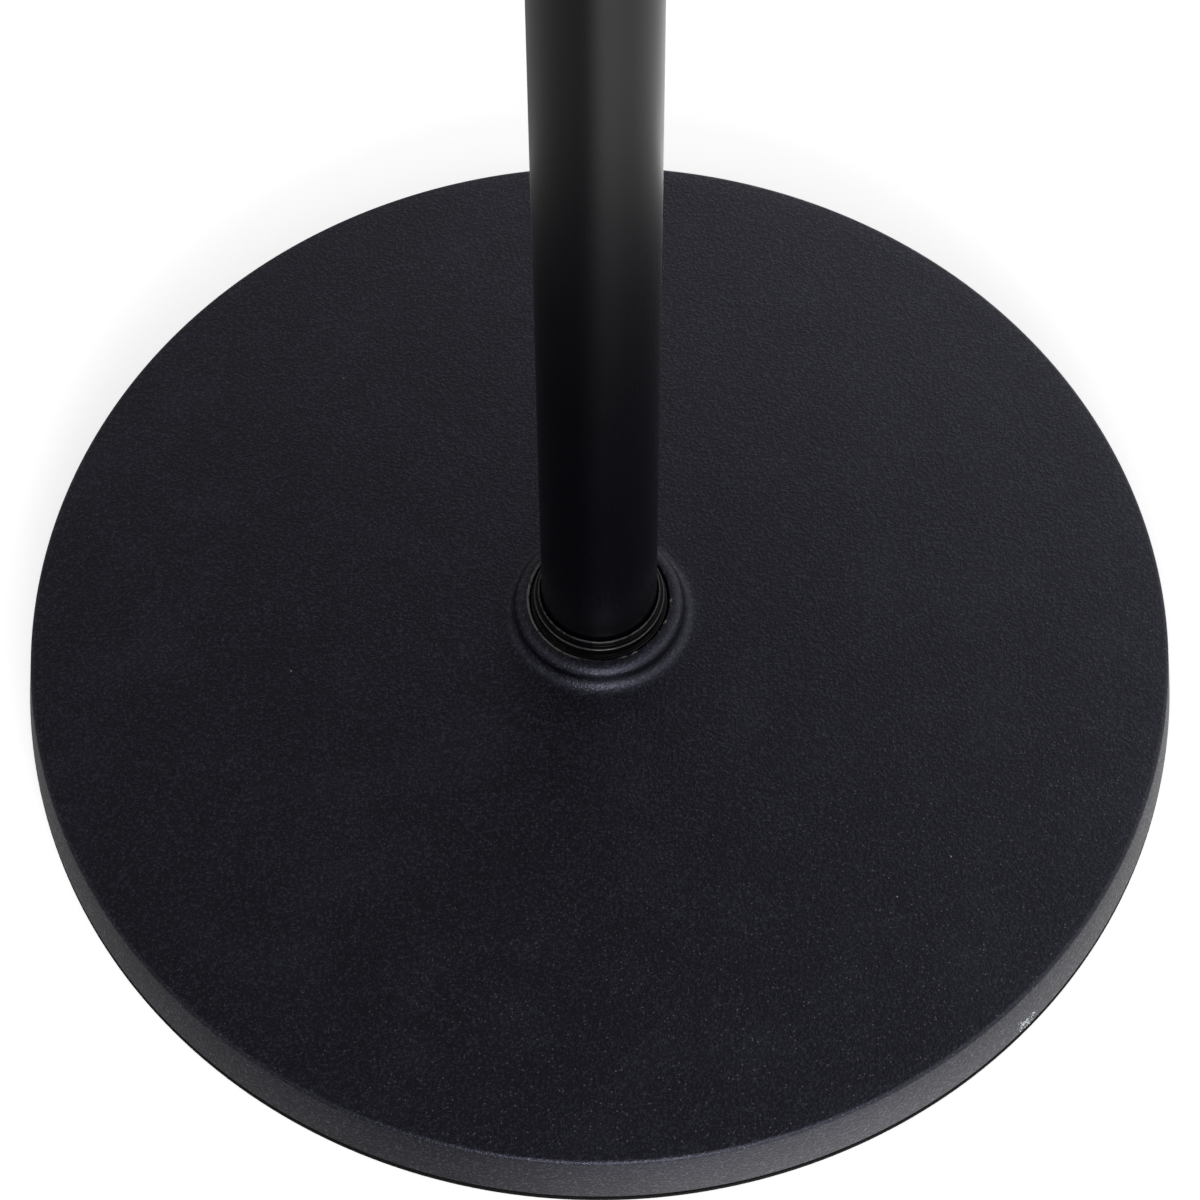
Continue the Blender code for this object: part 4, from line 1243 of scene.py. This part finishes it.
studio = {
    "floorRadius": 14.0,
    "floorSteps": 128,
    "floorColor": (0.80, 0.80, 0.80),
    "floorGlow": 0.58,
    "fadeFrom": 0.28,
    "fadeTo": 1.1,
    # what glossy coats mirror, with light and shade painted into the floor's glow: each is a ramp
    # between two places, then the tones at both
    "mirrorSide": (-0.34, 0.30, 0.27, 1.1),  # floor, painted darker to the left as shade; as x / radius
    "mirrorFall": (0.35, 1.0, 1.0, 0.58),  # and painted a little darker again to the far right as shade
    "mirrorNear": (0.152, 0.136, 1.0, 1.25),  # painted brighter close round the base as light; as radii
    "backdropRise": (0.60, 0.92, 0.92, 0.21),  # darker overhead; as the sine of the elevation
    "backdropSide": (-0.35, 0.35, 0.55, 1.50),  # and to the left
    "ambient": 0.58,
    "lamps": [  # name, place, size, power, aimed at
        ("soft_front", (0.24, -2.16, 0.70), (1.2, 1.35), 38.0, (0.0, 0.0, 0.02)),
        ("soft_right", (1.75, -0.85, 1.50), (1.0, 1.8), 5.0, (0.0, 0.0, 0.30)),
        ("soft_left", (-1.80, -0.90, 1.30), (0.9, 1.6), 2.0, (0.0, 0.0, 0.30)),
    ],
}


def makeFloor():
    s = studio
    bm = bmesh.new()
    bmesh.ops.create_circle(bm, cap_ends=True, segments=s["floorSteps"], radius=s["floorRadius"])
    floor = drafted("studio_floor", bm)
    matt = {"Roughness": 1.0, "Specular IOR Level": 0.0, "Base Color": s["floorColor"]}
    paper = Finish("pale_floor", matt)

    def glowing(strength):
        inputs = {"Color": (1.0, 1.0, 1.0), "Strength": strength}
        return paper.node("ShaderNodeEmission", None, inputs)

    radius, height, x, y = paper.cylinder()
    far = paper.ramp(radius, s["fadeFrom"], s["fadeTo"])
    camera, glossy, through = paper.rays()
    seen = camera.math("MAXIMUM", camera.math("MAXIMUM", camera, glossy), through)
    plain = Signal(paper, paper.shader.outputs[0])
    lit = paper.node("ShaderNodeAddShader", None, {0: plain, 1: glowing(s["floorGlow"])})
    shown = paper.chosen(far * seen, paper.chosen(seen, plain, lit), glowing(1.0))
    # painted light and shade: in glossy reflections the floor glows darker to the left and brighter
    # round the base
    across = x / (radius + 0.001)
    mirror = paper.ramp(across, *s["mirrorSide"]) * paper.ramp(across, *s["mirrorFall"])
    mirror = mirror * paper.ramp(radius, *s["mirrorNear"])
    shown = paper.chosen(glossy, shown, glowing(mirror))
    paper.feed(paper.tree.nodes["Material Output"].inputs["Surface"], shown)
    floor.data.materials.append(paper.material)


def makeWorld():
    # white to the camera, an even grey as light, and the backdrop that glossy coats see
    s = studio
    world = bpy.data.worlds.new("studio")
    bpy.context.scene.world = world
    world.use_nodes = True
    world.node_tree.nodes.clear()
    sky = NodeTree(world.node_tree)
    camera, glossy, through = sky.rays()
    x, y, z = sky.split(sky.node("ShaderNodeTexCoord", output="Generated"))
    strength = sky.ramp(z, *s["backdropRise"]) * sky.ramp(x, *s["backdropSide"])
    ambient = sky.node("ShaderNodeBackground", None, {"Strength": s["ambient"]})
    mirrored = sky.node("ShaderNodeBackground", None, {"Strength": strength})
    white = sky.node("ShaderNodeBackground", None, {"Color": (1.0, 1.0, 1.0)})
    light = sky.chosen(glossy, ambient, mirrored)
    seen = camera.math("MAXIMUM", camera, through)
    output = world.node_tree.nodes.new("ShaderNodeOutputWorld")
    sky.feed(output.inputs["Surface"], sky.chosen(seen, light, white))


def makeLamps():
    for name, place, size, power, aim in studio["lamps"]:
        lamp = bpy.data.lights.new(name, "AREA")
        lamp.shape = "RECTANGLE"
        lamp.size, lamp.size_y = size
        lamp.energy = power
        holder = linked(name, lamp)
        holder.location = place
        holder.rotation_euler = (Vector(aim) - Vector(place)).to_track_quat("-Z", "Y").to_euler()


view = {
    "place": (0.00017, -0.48967, 0.90273),
    "tilt": math.radians(29.3512),  # from straight down
    "roll": math.radians(-0.3478),
    "lens": 137.70,
    "sensor": 36.0,
    "clip": (0.01, 60.0),
}


def makeCamera():
    camera = bpy.data.cameras.new("photo_camera")
    camera.lens = view["lens"]
    camera.sensor_width = view["sensor"]
    camera.clip_start, camera.clip_end = view["clip"]
    holder = linked("photo_camera", camera)
    turn = Matrix.Rotation(view["tilt"], 3, "X") @ Matrix.Rotation(view["roll"], 3, "Z")
    holder.location = view["place"]
    holder.rotation_euler = turn.to_euler()
    bpy.context.scene.camera = holder


bpy.context.scene.view_settings.view_transform = "Standard"
makeCamera()
makeWorld()
makeLamps()
makeFloor()
print("studio: camera, world, lamps and floor")

bossTop = reach("base_casting")[2]
tubeTop = reach("lower_tube")[2]
mastTop = reach("upper_tube")[2]
wallBottom = crownHeight(castBase["bossRadius"]) + castBase["rootFillet"]
bossWall = (wallBottom, bossTop - castBase["shoulder"])
coatOnCasting = texturedBlack(castBase["ferruleSocket"], bossTop, *bossWall, castBase["chipAt"])
makeCastBase(coatOnCasting)
print("cast base")
makeRubberRing(blackRubber("foot_rubber", 0.03))
ferruleSteps = (bossTop - ferrule["recess"], bossTop + ferrule["stepHeight"])
highlightCorners = (  # radius, height, and how broken the painted highlight line is
    (ferrule["lip"], reach("foot_ferrule")[2], 0.9),
    (ferrule["step"], ferruleSteps[1], 0.4),
)
makeFerrule(glossBlack("gloss_black_ferrule", ferruleSteps, highlightCorners))
print("foot: rubber ring and ferrule")
makeTubes(satinBlack("satin_black_tube", lines=0.015), satinBlack("satin_black_mast", lines=0.05))
print("tubes")

zinc = plated("zinc_plated_steel")
nickel = plated("nickel_plate")
blackened = plated("blackened_steel")
blackNylon = nylon("black_nylon")
diecast = satinBlack("satin_black_diecast", peel=0.0008, lines=0.04)
makeBolt(zinc)
makeWashers(zinc)
print("bolt and washers")
makeHousing(diecast, blackened)
makeCollet(nylon("natural_nylon"))
makeCloser(zinc, blackNylon, blackened)
makeSleeve(diecast)
makeGrip(blackRubber("grip_rubber", 0.22))
makeCap(glossPlastic("gloss_black_cap"))
print("clutch")
makeGuide(blackNylon, zinc)
makeStud(zinc)
makeAdapter(nickel)
makeLockRing(zinc, blackNylon)
print("guide, stud, adapter and lock ring")
